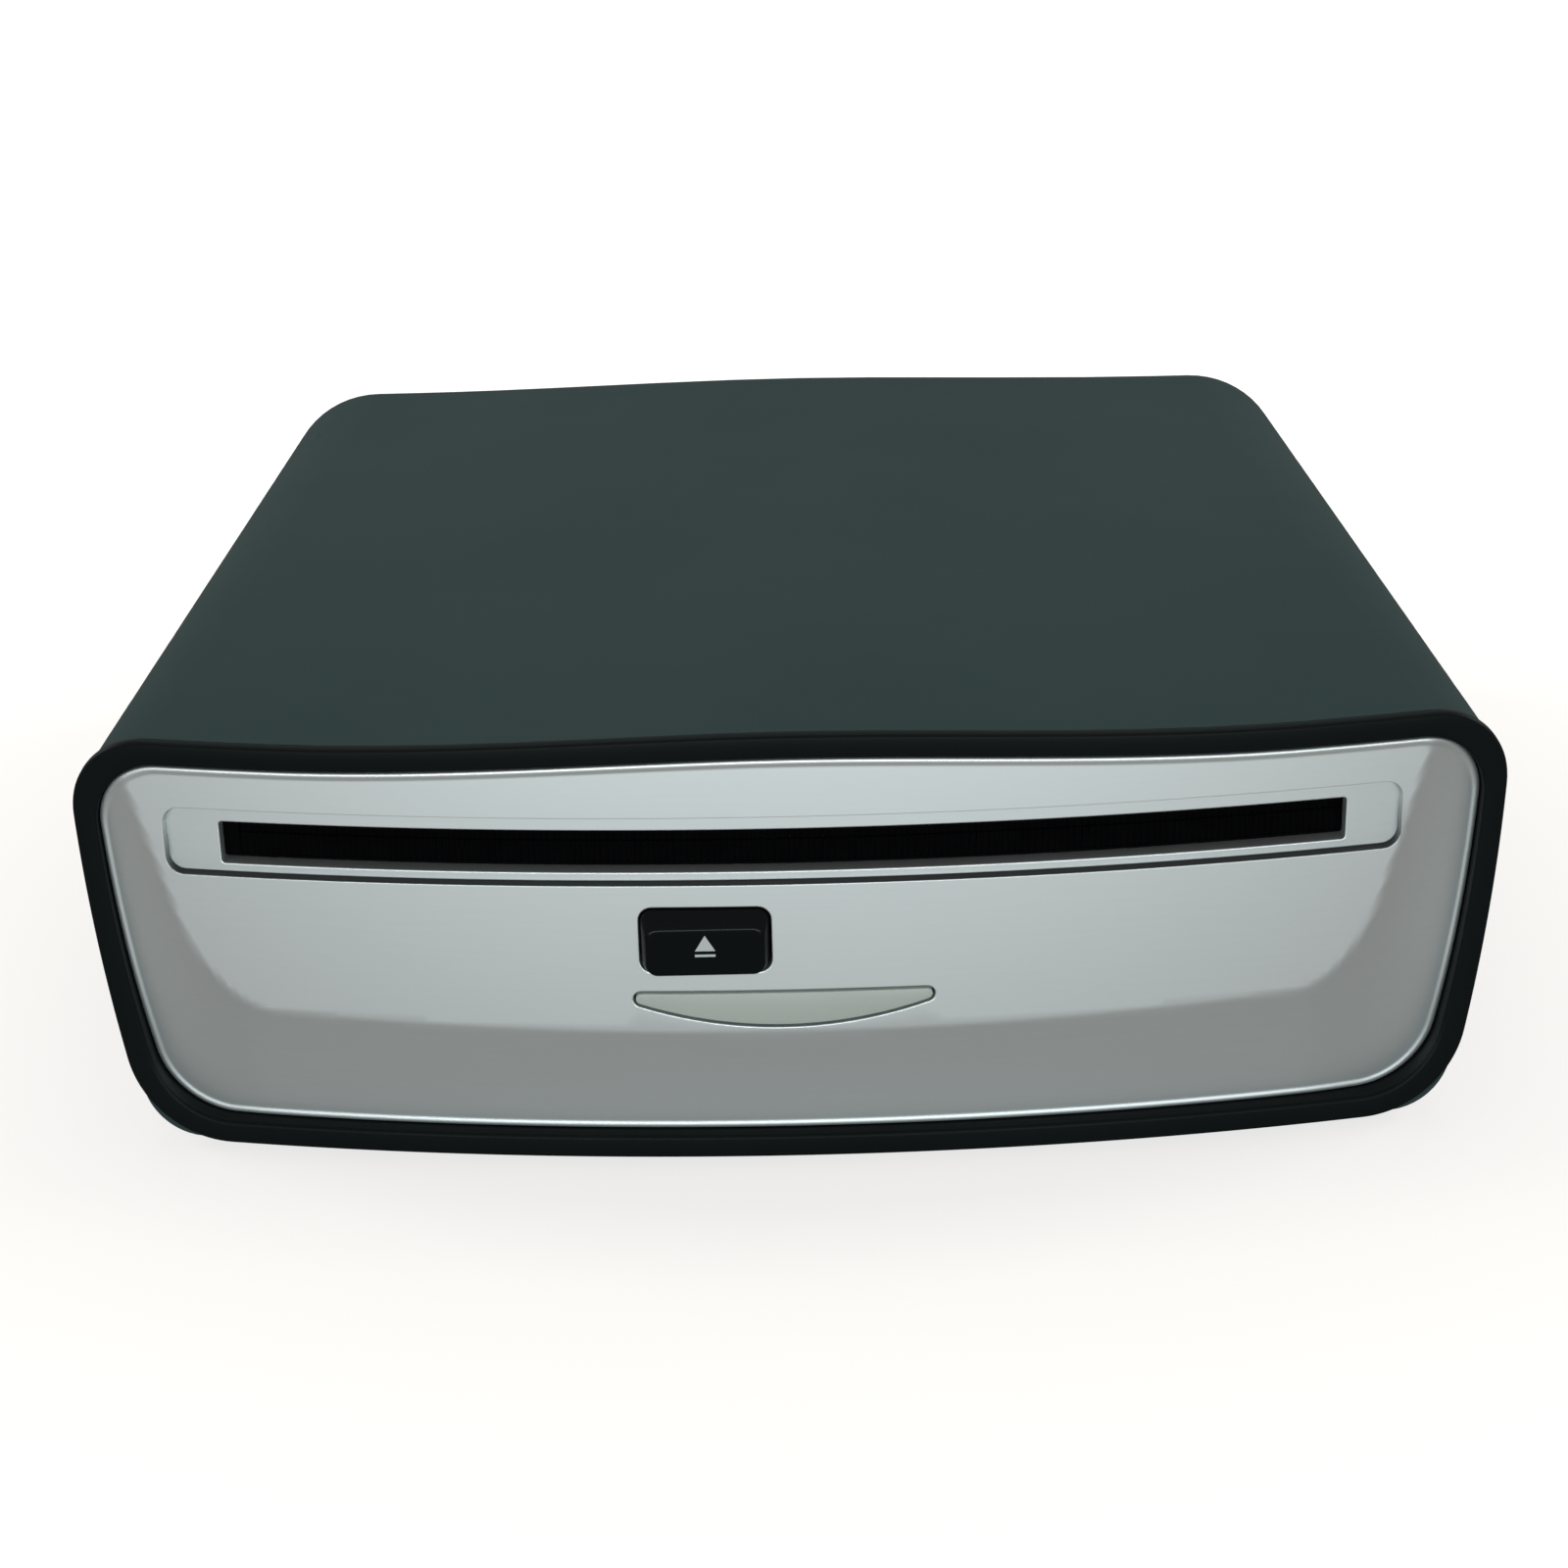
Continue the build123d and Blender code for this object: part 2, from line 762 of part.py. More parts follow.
shell_top_z = parting_z - shell_gap
with BuildPart() as bottom_shell:
    add(outer_body)
    add(inner_body, mode=Mode.SUBTRACT)
    add(rebate, mode=Mode.SUBTRACT)
    with Locations((0, bow_centre_y, 0)):
        Cylinder(bow_radius - rim_thickness - shell_gap, tall, mode=Mode.INTERSECT)
    with BuildSketch(Plane.XY.offset(shell_top_z)):
        Rectangle(4 * rim_half, 4 * depth)
    extrude(amount=2 * shoulder_height, mode=Mode.SUBTRACT)
    with BuildSketch(Plane.XY.offset(base_z + wall / 2)):
        with Locations(*boss_points):
            Circle(boss_radius)
    extrude(amount=shell_top_z - base_z - wall / 2)
    with BuildSketch(Plane.XY.offset(base_z + wall / 2)):
        with Locations(*mount_points):
            Circle(grommet_radius)
    extrude(amount=chassis_base - grommet_flange - wall / 2)
    with BuildSketch(Plane.XY.offset(base_z + wall / 2)):
        with Locations(*board_points):
            Circle(board_post_radius)
    extrude(amount=main_board_height - wall / 2)
    with Locations(*[(x, y, base_z) for x, y in boss_points]):
        Cylinder(screw_head_radius + fit, 2 * screw_head_height, mode=Mode.SUBTRACT)
        Cylinder(screw_radius + fit, tall, mode=Mode.SUBTRACT)
    with Locations(*[(x, y, chassis_z - grommet_flange) for x, y in mount_points]):
        Cylinder(screw_radius, 2 * screw_length, mode=Mode.SUBTRACT)
    with Locations(*[(x, y, main_board_z) for x, y in board_points]):
        Cylinder(screw_radius, 2 * (main_board_height - wall / 2), mode=Mode.SUBTRACT)
    with BuildSketch(Plane.XY.offset(base_z + wall / 2)):
        with Locations((0, rear_plate_y - 2 * wall)):
            Rectangle(2 * main_board_half, wall)
    extrude(amount=wall)
    add(outer_body, mode=Mode.INTERSECT)
save(bottom_shell.part, "bottom_shell")

case_screws = screw(
    Plane((0, 0, base_z + screw_head_height), x_dir=(1, 0, 0), z_dir=(0, 0, -1)),
    [(x, -y) for x, y in boss_points],
    screw_head_radius,
    screw_head_height,
    screw_radius,
    parting_height + screw_length / 2,
)
save(case_screws, "case_screws")

for name, (x, y) in zip(
    ("foot_front_left", "foot_rear_left", "foot_front_right", "foot_rear_right"), foot_points
):
    with BuildPart() as foot:
        with Locations((x, y, foot_drop / 2)):
            Cylinder(foot_radius, foot_drop)
        chamfer(foot.edges().sort_by(Axis.Z)[0], foot_drop / 3)
    save(foot.part, name)

# Rear plate with the two sockets' windows and the vents
rear_fit = wall + fit + fit
with BuildPart() as rear_panel:
    with BuildSketch(Plane.XZ.offset(-rear_plate_y)):
        add(rear_outline(Plane.XY, rear_fit))
        with Locations((usb_x, usb_z)):
            Rectangle(usb_width + 2 * fit, usb_height + 2 * fit, mode=Mode.SUBTRACT)
        with Locations((inlet_x, inlet_z)):
            Circle(inlet_width / 2 - 2 * fit, mode=Mode.SUBTRACT)
        with Locations((0, base_z + 2 * shoulder_height / 3)):
            with GridLocations(vent_pitch, 0, vent_count, 1):
                SlotOverall(vent_height, vent_width, rotation=90, mode=Mode.SUBTRACT)
    extrude(amount=wall)
save(rear_panel.part, "rear_panel")

# Main board with the sockets, its chip, capacitors and the front board's ribbon
board_top_z = main_board_z + board_thickness
with BuildPart() as main_board:
    with BuildSketch(Plane.XY.offset(main_board_z)):
        with Locations((0, (main_board_front + main_board_rear) / 2)):
            Rectangle(2 * main_board_half, main_board_rear - main_board_front)
        with Locations(*board_points):
            Circle(screw_radius + fit, mode=Mode.SUBTRACT)
    extrude(amount=board_thickness)
save(main_board.part, "main_board")
save(
    screw(
        Plane.XY.offset(board_top_z),
        board_points,
        screw_head_radius,
        screw_head_height,
        screw_radius,
        board_thickness + main_board_height - wall,
    ),
    "main_board_screws",
)

with BuildPart() as decoder_chip:
    with BuildSketch(Plane.XY.offset(board_top_z)):
        with Locations((chip_x, 0)):
            Rectangle(chip_side, chip_side)
    extrude(amount=chip_height)
save(decoder_chip.part, "decoder_chip")

with BuildPart() as filter_capacitors:
    with BuildSketch(Plane.XY.offset(board_top_z)):
        with Locations((inlet_x, main_post_rear)):
            with GridLocations(3 * capacitor_radius, 0, 2, 1):
                Circle(capacitor_radius)
    extrude(amount=capacitor_height)
save(filter_capacitors.part, "filter_capacitors")

with BuildPart() as usb_socket:
    with BuildSketch(Plane.XZ.offset(-rear_plate_y)):
        with Locations((usb_x, usb_z)):
            Rectangle(usb_width, usb_height)
    extrude(amount=usb_length)
    with BuildSketch(Plane.XZ.offset(-rear_plate_y)):
        with Locations((usb_x, usb_z)):
            Rectangle(usb_width - 2 * usb_shell, usb_height - 2 * usb_shell)
    extrude(amount=usb_length - 2 * usb_shell, mode=Mode.SUBTRACT)
    with BuildSketch(Plane.XZ.offset(-(rear_plate_y - 2 * usb_shell))):
        with Locations((usb_x, usb_z + usb_height / 5)):
            Rectangle(usb_width - 6 * usb_shell, usb_height / 4)
    extrude(amount=usb_length - 3 * usb_shell)
save(usb_socket.part, "usb_socket")

plate_inner_y = rear_plate_y - wall
with BuildPart() as power_inlet:
    with BuildSketch(Plane.XZ.offset(-plate_inner_y)):
        with Locations((inlet_x, inlet_z)):
            Rectangle(inlet_width, inlet_height)
    extrude(amount=inlet_length)
    with BuildSketch(Plane.XZ.offset(-rear_plate_y)):
        with Locations((inlet_x, inlet_z)):
            Circle(inlet_width / 2 - 3 * fit)
    extrude(amount=wall)
    with BuildSketch(Plane.XZ.offset(-rear_plate_y)):
        with Locations((inlet_x, inlet_z)):
            Circle(inlet_bore)
            Circle(inlet_pin, mode=Mode.SUBTRACT)
    extrude(amount=inlet_length, mode=Mode.SUBTRACT)
save(power_inlet.part, "power_inlet")

with BuildPart() as ribbon_socket:
    with BuildSketch(Plane.XY.offset(board_top_z)):
        with Locations((0, main_board_front + ribbon_socket_depth / 2)):
            Rectangle(ribbon_width + 2 * ribbon_socket_height, ribbon_socket_depth)
    extrude(amount=ribbon_socket_height)
    with Locations((0, main_board_front, board_top_z + ribbon_socket_height / 2)):
        Box(
            ribbon_width + 2 * fit,
            ribbon_socket_depth,
            ribbon_thickness + 2 * running,
            mode=Mode.SUBTRACT,
        )
save(ribbon_socket.part, "ribbon_socket")

ribbon_y = front_board_y + board_thickness
ribbon_z = board_top_z + ribbon_socket_height / 2
with BuildPart() as front_ribbon:
    with BuildSketch(Plane.YZ.offset(-ribbon_width / 2)):
        with BuildLine():
            FilletPolyline(
                (ribbon_y + ribbon_thickness / 2, base_z + front_board_bottom + ribbon_width / 3),
                (ribbon_y + ribbon_thickness / 2, ribbon_z),
                (main_board_front + ribbon_socket_depth / 3, ribbon_z),
                radius=2 * ribbon_thickness,
            )
            offset(amount=ribbon_thickness / 2, side=Side.BOTH)
        make_face()
    extrude(amount=ribbon_width)
save(front_ribbon.part, "front_ribbon")

# Places of the moving parts, seen from the side as (y, z)
roller_place = Vector(roller_y, roller_z)
pivot_place = Vector(pivot_y, pivot_z)
arm_reach = (roller_place - pivot_place).length
arm_tilt = degrees(asin(pivot_below / arm_reach))
drop_angle = arm_tilt - degrees(asin((pivot_below - roller_drop) / arm_reach))
idler_reach = module * (roller_teeth + idler_teeth) / 2 + mesh_slack
idler_angle = 90 - arm_tilt
idler_place = roller_place + Vector(idler_reach, 0).rotate(Axis.Z, idler_angle)
wheel_reach = module * (idler_teeth + wheel_teeth) / 2 + mesh_slack
wheel_place = idler_place + Vector(wheel_reach, 0).rotate(Axis.Z, wheel_angle)
worm_reach = worm_module * worm_wheel_teeth / 2 + worm_pitch_radius
motor_x = chassis_half + motor_width / 2
worm_wheel_x = motor_x - worm_wheel_width / 2
gear_x = worm_wheel_x - gear_width
worm_z = wheel_place.Y - worm_reach
hinge_place = Vector(clamp_hinge_y, hinge_z)
clamp_angle = degrees(asin(clamp_lift / (clamp_hinge_y - disc_y - puck_radius)))
hinge_axis = Axis((0, clamp_hinge_y, hinge_z), (1, 0, 0))
peg_place = pivot_place + (roller_place - pivot_place) * peg_along
peg_end = pivot_place + (peg_place - pivot_place).rotate(Axis.Z, drop_angle)
lever_end = Vector(clamp_lever_y, hinge_z)
lever_place = hinge_place + (lever_end - hinge_place).rotate(Axis.Z, -clamp_angle)
slider_shift = Vector(slider_travel, 0)
slider_x = -(chassis_half + slider_gap)
wall_inner = chassis_half - plate


def slot_between(start, end, radius):
    """Round-ended slot from one place to another, in the side view."""
    middle = (start + end) / 2
    run = end - start
    with Locations((middle.X, middle.Y)):
        SlotCenterToCenter(
            run.length, 2 * radius, rotation=degrees(atan(run.Y / run.X)), mode=Mode.SUBTRACT
        )


# Loader chassis: a folded tray with high side walls, axle pins, studs and deck posts
deck_left = -(lens_start + lens_travel + sled_outer / 2 + fit + holder_length)
deck_points = [
    (x, y)
    for x in (deck_left + deck_post_inset, deck_right - deck_post_inset)
    for y in (deck_front + deck_post_inset, deck_rear - deck_post_inset)
]
with BuildPart() as chassis:
    with BuildSketch(Plane.XY.offset(chassis_z)):
        with Locations((0, (chassis_front + chassis_rear) / 2)):
            Rectangle(2 * chassis_half, chassis_rear - chassis_front)
        with Locations(*mount_points):
            Circle(grommet_neck + running, mode=Mode.SUBTRACT)
        with Locations(((usb_x + inlet_x) / 2, chassis_rear)):
            Rectangle(inlet_x - usb_x + 2 * usb_width, 2 * rear_notch, mode=Mode.SUBTRACT)
    extrude(amount=plate)
    for side in (-1, 1):
        with BuildSketch(Plane.YZ.offset(side * wall_inner)):
            with BuildLine():
                Polyline(
                    (chassis_front, chassis_z),
                    (chassis_front, nose_top_z),
                    (chassis_nose_rear + 4 * plate, nose_top_z),
                    (chassis_nose_rear + 10 * plate, wall_top_z),
                    (chassis_rear, wall_top_z),
                    (chassis_rear, chassis_z),
                    close=True,
                )
            make_face()
            if side > 0:
                with Locations((roller_y - plate / 2, roller_z - roller_drop / 2)):
                    Rectangle(
                        2 * (roller_shaft_radius + plate),
                        roller_drop + 2 * (roller_shaft_radius + plate),
                        mode=Mode.SUBTRACT,
                    )
            else:
                with Locations(((peg_place.X + peg_end.X) / 2, (peg_place.Y + peg_end.Y) / 2)):
                    Rectangle(
                        4 * (slider_pin_radius + slider_play),
                        peg_place.Y - peg_end.Y + 4 * (slider_pin_radius + slider_play),
                        mode=Mode.SUBTRACT,
                    )
            with Locations((pivot_y, pivot_z)):
                Circle(pivot_radius + running / 5, mode=Mode.SUBTRACT)
        extrude(amount=side * plate)
    with BuildSketch(Plane.XZ.offset(-chassis_rear)):
        with Locations((0, (hinge_z + hinge_ear_radius + deck_z) / 2)):
            Rectangle(2 * chassis_half, hinge_z + hinge_ear_radius - deck_z)
    extrude(amount=plate)
    for side in (-1, 1):
        with BuildSketch(Plane.YZ.offset(side * (clamp_ear_x + plate / 2))):
            with Locations((clamp_hinge_y, hinge_z)):
                Circle(hinge_ear_radius)
            with Locations(((clamp_hinge_y + chassis_rear) / 2, hinge_z)):
                Rectangle(chassis_rear - clamp_hinge_y, 2 * hinge_ear_radius)
            with Locations((clamp_hinge_y, hinge_z)):
                Circle(hinge_pin_radius, mode=Mode.SUBTRACT)
        extrude(amount=side * plate)
    with BuildSketch(Plane.YZ.offset(chassis_half)):
        with Locations((idler_place.X, idler_place.Y)):
            Circle(gear_axle_radius)
    extrude(amount=gear_x + gear_width - chassis_half)
    with BuildSketch(Plane.YZ.offset(chassis_half)):
        with Locations((wheel_place.X, wheel_place.Y)):
            Circle(gear_axle_radius)
    extrude(amount=worm_wheel_x + worm_wheel_width - chassis_half)
    with BuildSketch(Plane.YZ.offset(-chassis_half)):
        with Locations((stud_front_y, stud_z), (stud_rear_y, stud_z)):
            Circle(stud_radius)
    extrude(amount=-(slider_gap + plate + slider_play))
    with BuildSketch(Plane.YZ.offset(-chassis_half - slider_gap - plate - slider_play)):
        with Locations((stud_front_y, stud_z), (stud_rear_y, stud_z)):
            Circle(2 * stud_radius)
    extrude(amount=-plate / 2)
    with BuildSketch(Plane.XY.offset(chassis_z + plate)):
        with Locations(*deck_points):
            Circle(deck_post_radius)
    extrude(amount=deck_z - chassis_z - plate)
    with Locations(*[(x, y, deck_z) for x, y in deck_points]):
        Cylinder(screw_radius, 2 * (screw_length - wall), mode=Mode.SUBTRACT)
save(chassis.part, "chassis")

grommet_names = ("grommet_front_left", "grommet_rear_left", "grommet_front_right", "grommet_rear_right")
for name, (x, y) in zip(grommet_names, mount_points):
    with BuildPart() as grommet:
        with Locations((x, y, chassis_z - grommet_flange / 2)):
            Cylinder(grommet_radius, grommet_flange)
        with Locations((x, y, chassis_z + plate / 2)):
            Cylinder(grommet_neck, plate)
        with Locations((x, y, chassis_z + plate + grommet_flange / 2)):
            Cylinder(grommet_radius, grommet_flange)
        with Locations((x, y, chassis_z)):
            Cylinder(screw_radius + fit, tall, mode=Mode.SUBTRACT)
    save(grommet.part, name)
save(
    screw(
        Plane.XY.offset(chassis_z + plate + grommet_flange),
        mount_points,
        grommet_neck,
        screw_head_height,
        screw_radius,
        plate + 2 * grommet_flange + screw_length - wall,
    ),
    "chassis_screws",
)

# Upper guide: a moulded bar whose ridge holds the disc down on the roller
guide_low = path_z + disc_thickness / 2 + roller_gap
guide_lead = base_z + slot_bottom + slot_height + roller_shaft_radius / 2
with BuildPart() as upper_guide:
    with BuildSketch(Plane.YZ.offset(-wall_inner)):
        with BuildLine():
            Polyline(
                (roller_y - guide_front, nose_top_z),
                (roller_y - guide_front, guide_lead),
                (roller_y - roller_shaft_radius, guide_low),
                (roller_y + roller_shaft_radius, guide_low),
                (roller_y + guide_rear, guide_lead),
                (roller_y + guide_rear, nose_top_z),
                close=True,
            )
        make_face()
    extrude(amount=2 * wall_inner)
save(upper_guide.part, "upper_guide")

# Roller, its shaft and its arm
with BuildPart() as roller_arm:
    for side in (-1, 1):
        with BuildSketch(Plane.YZ.offset(side * (arm_x - arm_thickness / 2))):
            with Locations(((roller_y + pivot_y) / 2, (roller_z + pivot_z) / 2)):
                SlotCenterToCenter(arm_reach, arm_height, rotation=-arm_tilt)
            with Locations((pivot_y, pivot_z)):
                Circle(pivot_radius + running, mode=Mode.SUBTRACT)
            with Locations((roller_y, roller_z)):
                Circle(roller_shaft_radius + running, mode=Mode.SUBTRACT)
        extrude(amount=side * arm_thickness)
    bar_place = pivot_place + (roller_place - pivot_place) * bar_along
    with BuildSketch(Plane.YZ.offset(-arm_x)):
        with Locations((bar_place.X, bar_place.Y)):
            Rectangle(arm_thickness, arm_height - arm_thickness)
    extrude(amount=2 * arm_x)
    with BuildSketch(Plane.YZ.offset(-arm_x)):
        with Locations((peg_place.X, peg_place.Y)):
            Circle(slider_pin_radius)
    extrude(amount=slider_x - plate - slider_play + arm_x)
save(roller_arm.part, "roller_arm")

with BuildPart() as pivot_rod:
    with BuildSketch(Plane.YZ.offset(-chassis_half)):
        with Locations((pivot_y, pivot_z)):
            Circle(pivot_radius)
    extrude(amount=2 * chassis_half)
save(pivot_rod.part, "pivot_rod")

with BuildPart() as roller_shaft:
    with BuildSketch(Plane.YZ.offset(-wall_inner + fit)):
        with Locations((roller_y, roller_z)):
            Circle(roller_shaft_radius)
    extrude(amount=wall_inner - fit + gear_x + gear_width + fit)
save(roller_shaft.part, "roller_shaft")

for side, name in ((-1, "roller_sleeve_left"), (1, "roller_sleeve_right")):
    with BuildPart() as sleeve:
        with BuildSketch(Plane((0, roller_y, roller_z), x_dir=(1, 0, 0), z_dir=(0, -1, 0))):
            with BuildLine():
                Polyline(
                    (side * roller_start, roller_shaft_radius + running),
                    (side * roller_start, roller_mid_radius),
                    (side * roller_end, roller_end_radius),
                    (side * roller_end, roller_shaft_radius + running),
                    close=True,
                )
            make_face()
        revolve(axis=Axis((0, roller_y, roller_z), (1, 0, 0)))
    save(sleeve.part, name)


def toothed(place, teeth, size, turn, bore):
    """Spur gear outline with flat-sided teeth, one of them centred at the angle turn."""
    pitch_radius = size * teeth / 2
    half_tooth = pi * size / 4 - mesh_play / 2
    levels = (
        (pitch_radius - 1.15 * size, half_tooth),
        (pitch_radius, half_tooth),
        (pitch_radius + 0.9 * size, half_tooth - 0.4 * size),
    )
    points = []
    for tooth in range(teeth):
        middle = radians(turn) + 2 * pi * tooth / teeth
        for radius, half in levels:
            points.append((radius, middle - half / radius))
        for radius, half in reversed(levels):
            points.append((radius, middle + half / radius))
    with Locations((place.X, place.Y)):
        Polygon(*[(r * cos(a), r * sin(a)) for r, a in points], align=None)
        Circle(bore, mode=Mode.SUBTRACT)


def mesh_turn(turn, teeth, other_teeth, direction):
    """Angle of a gear whose gap faces the tooth of a neighbour that lies against direction."""
    phase = (direction - turn) * teeth / 360 % 1
    return direction + 180 - (0.5 - phase) * 360 / other_teeth


idler_turn = mesh_turn(0, roller_teeth, idler_teeth, idler_angle)
wheel_turn = mesh_turn(idler_turn, idler_teeth, wheel_teeth, wheel_angle)
with BuildPart() as roller_gear:
    with BuildSketch(Plane.YZ.offset(gear_x)):
        toothed(roller_place, roller_teeth, module, 0, roller_shaft_radius + running)
    extrude(amount=gear_width)
save(roller_gear.part, "roller_gear")

with BuildPart() as idler_gear:
    with BuildSketch(Plane.YZ.offset(gear_x)):
        toothed(idler_place, idler_teeth, module, idler_turn, gear_axle_radius + running)
    extrude(amount=gear_width)
save(idler_gear.part, "idler_gear")

with BuildPart() as worm_wheel:
    with BuildSketch(Plane.YZ.offset(gear_x)):
        toothed(wheel_place, wheel_teeth, module, wheel_turn, gear_axle_radius + running)
    extrude(amount=gear_width)
    with BuildSketch(Plane.YZ.offset(worm_wheel_x)):
        toothed(wheel_place, worm_wheel_teeth, worm_module, 0, gear_axle_radius + running)
    extrude(amount=worm_wheel_width)
save(worm_wheel.part, "worm_wheel")

worm_front_y = wheel_place.X - worm_length / 2
motor_front_y = wheel_place.X + worm_length / 2 + 2 * fit
with BuildPart() as motor_worm:
    with BuildSketch(Plane.XZ.offset(-worm_front_y)):
        with Locations((motor_x, worm_z)):
            Circle(worm_core_radius)
    extrude(amount=-worm_length)
    with BuildSketch(Plane.XZ.offset(-(worm_front_y + worm_length))):
        with Locations((motor_x, worm_z)):
            Circle(motor_shaft_radius)
    extrude(amount=-(motor_length / 2))
save(motor_worm.part, "motor_worm")

with BuildPart() as loading_motor:
    with BuildSketch(Plane.XZ.offset(-motor_front_y)):
        with Locations((motor_x, worm_z)):
            RectangleRounded(motor_width, motor_height, motor_width / 4)
    extrude(amount=-motor_length)
    with BuildSketch(Plane.XZ.offset(-motor_front_y)):
        with Locations((motor_x, worm_z)):
            Circle(motor_shaft_radius + running)
    extrude(amount=-(motor_length / 2 + 2 * fit), mode=Mode.SUBTRACT)
save(loading_motor.part, "loading_motor")

# Shift slider with the two cam slots that drop the roller and lower the clamp
with BuildPart() as shift_slider:
    with BuildSketch(Plane.YZ.offset(slider_x)):
        with BuildLine():
            Polyline(
                (chassis_front, slider_low_z),
                (chassis_front, slider_high_z),
                (slider_riser_front, slider_high_z),
                (slider_riser_front, slider_riser_z),
                (slider_rear, slider_riser_z),
                (slider_rear, slider_low_z),
                close=True,
            )
        make_face()
        slot_between(peg_place, peg_end - slider_shift, slider_pin_radius + slider_play)
        slot_between(lever_place, lever_end - slider_shift, slider_pin_radius + slider_play)
        for y in (stud_front_y, stud_rear_y):
            stud = Vector(y, stud_z)
            slot_between(stud, stud - slider_shift, stud_radius + slider_play)
    extrude(amount=-plate)
save(shift_slider.part, "shift_slider")

# Clamp arm, drawn level and then swung up to where it waits
lever_x = slider_x - plate - slider_play
with BuildPart() as clamp_arm:
    with BuildSketch(Plane.XY.offset(clamp_low_z)):
        with BuildLine():
            Polyline(
                (-clamp_width / 2, disc_y),
                (-clamp_width / 2, clamp_lever_y),
                (-clamp_ear_x + plate / 2 + fit, clamp_hinge_y - 4 * hinge_ear_radius),
                (-clamp_ear_x + plate / 2 + fit, clamp_hinge_y + hinge_ear_radius),
                (clamp_ear_x - plate / 2 - fit, clamp_hinge_y + hinge_ear_radius),
                (clamp_ear_x - plate / 2 - fit, clamp_hinge_y - 4 * hinge_ear_radius),
                (clamp_width / 2, clamp_lever_y),
                (clamp_width / 2, disc_y),
                close=True,
            )
        make_face()
        with Locations((0, disc_y)):
            Circle(puck_neck_radius + 2 * hinge_ear_radius)
            Circle(puck_neck_radius + 2 * slider_play, mode=Mode.SUBTRACT)
        lever_rear = clamp_hinge_y - hinge_ear_radius - 3 * fit
        with Locations(((lever_x - plate) / 2, lever_rear - lever_strip / 2)):
            Rectangle(-(lever_x - plate), lever_strip)
        with Locations((lever_x - plate / 2, (lever_rear + clamp_lever_y - lever_strip / 2) / 2)):
            Rectangle(plate, lever_rear - clamp_lever_y + lever_strip / 2)
    extrude(amount=plate)
    for side in (-1, 1):
        with BuildSketch(Plane.XY.offset(clamp_low_z)):
            flange_front = disc_y + puck_neck_radius + 2 * hinge_ear_radius
            with Locations((side * (clamp_width - plate) / 2, (flange_front + clamp_lever_y) / 2)):
                Rectangle(plate, clamp_lever_y - flange_front)
        extrude(amount=clamp_flange)
        with BuildSketch(Plane.YZ.offset(side * (clamp_ear_x - plate / 2 - fit))):
            with Locations((clamp_hinge_y, hinge_z)):
                Circle(hinge_ear_radius)
            with Locations((clamp_hinge_y, (hinge_z + clamp_low_z) / 2)):
                Rectangle(2 * hinge_ear_radius, hinge_z - clamp_low_z)
            with Locations((clamp_hinge_y, hinge_z)):
                Circle(hinge_pin_radius + running, mode=Mode.SUBTRACT)
        extrude(amount=-side * plate)
    with BuildSketch(Plane.YZ.offset(lever_x)):
        with Locations((clamp_lever_y, hinge_z)):
            Circle(slider_pin_radius + plate / 2)
        with Locations((clamp_lever_y, (hinge_z + clamp_low_z) / 2)):
            Rectangle(2 * slider_pin_radius + plate, hinge_z - clamp_low_z)
    extrude(amount=-plate)
    with BuildSketch(Plane.YZ.offset(lever_x)):
        with Locations((clamp_lever_y, hinge_z)):
            Circle(slider_pin_radius)
    extrude(amount=plate + 2 * slider_play)
save(clamp_arm.part.rotate(hinge_axis, -clamp_angle), "clamp_arm")

puck_low = play_z + disc_thickness + running
cap_low = clamp_low_z + plate + 2 * fit
with BuildPart() as clamp_puck:
    with BuildSketch(Plane.XY.offset(puck_low)):
        with Locations((0, disc_y)):
            Circle(puck_radius)
    extrude(amount=puck_height)
    with BuildSketch(Plane.XY.offset(puck_low)):
        with Locations((0, disc_y)):
            Circle(puck_neck_radius)
    extrude(amount=cap_low - puck_low)
    with BuildSketch(Plane.XY.offset(cap_low)):
        with Locations((0, disc_y)):
            Circle(puck_cap_radius)
    extrude(amount=puck_cap)
    with BuildSketch(Plane.XY.offset(puck_low)):
        with Locations((0, disc_y)):
            Circle(hub_radius + 4 * fit)
    extrude(amount=hub_height - disc_thickness + 4 * fit, mode=Mode.SUBTRACT)
save(clamp_puck.part.rotate(hinge_axis, -clamp_angle), "clamp_puck")

with BuildPart() as clamp_pin:
    with BuildSketch(Plane.YZ.offset(-clamp_ear_x - plate * 1.5)):
        with Locations((clamp_hinge_y, hinge_z)):
            Circle(hinge_pin_radius - running / 5)
    extrude(amount=2 * clamp_ear_x + 3 * plate)
save(clamp_pin.part, "clamp_pin")

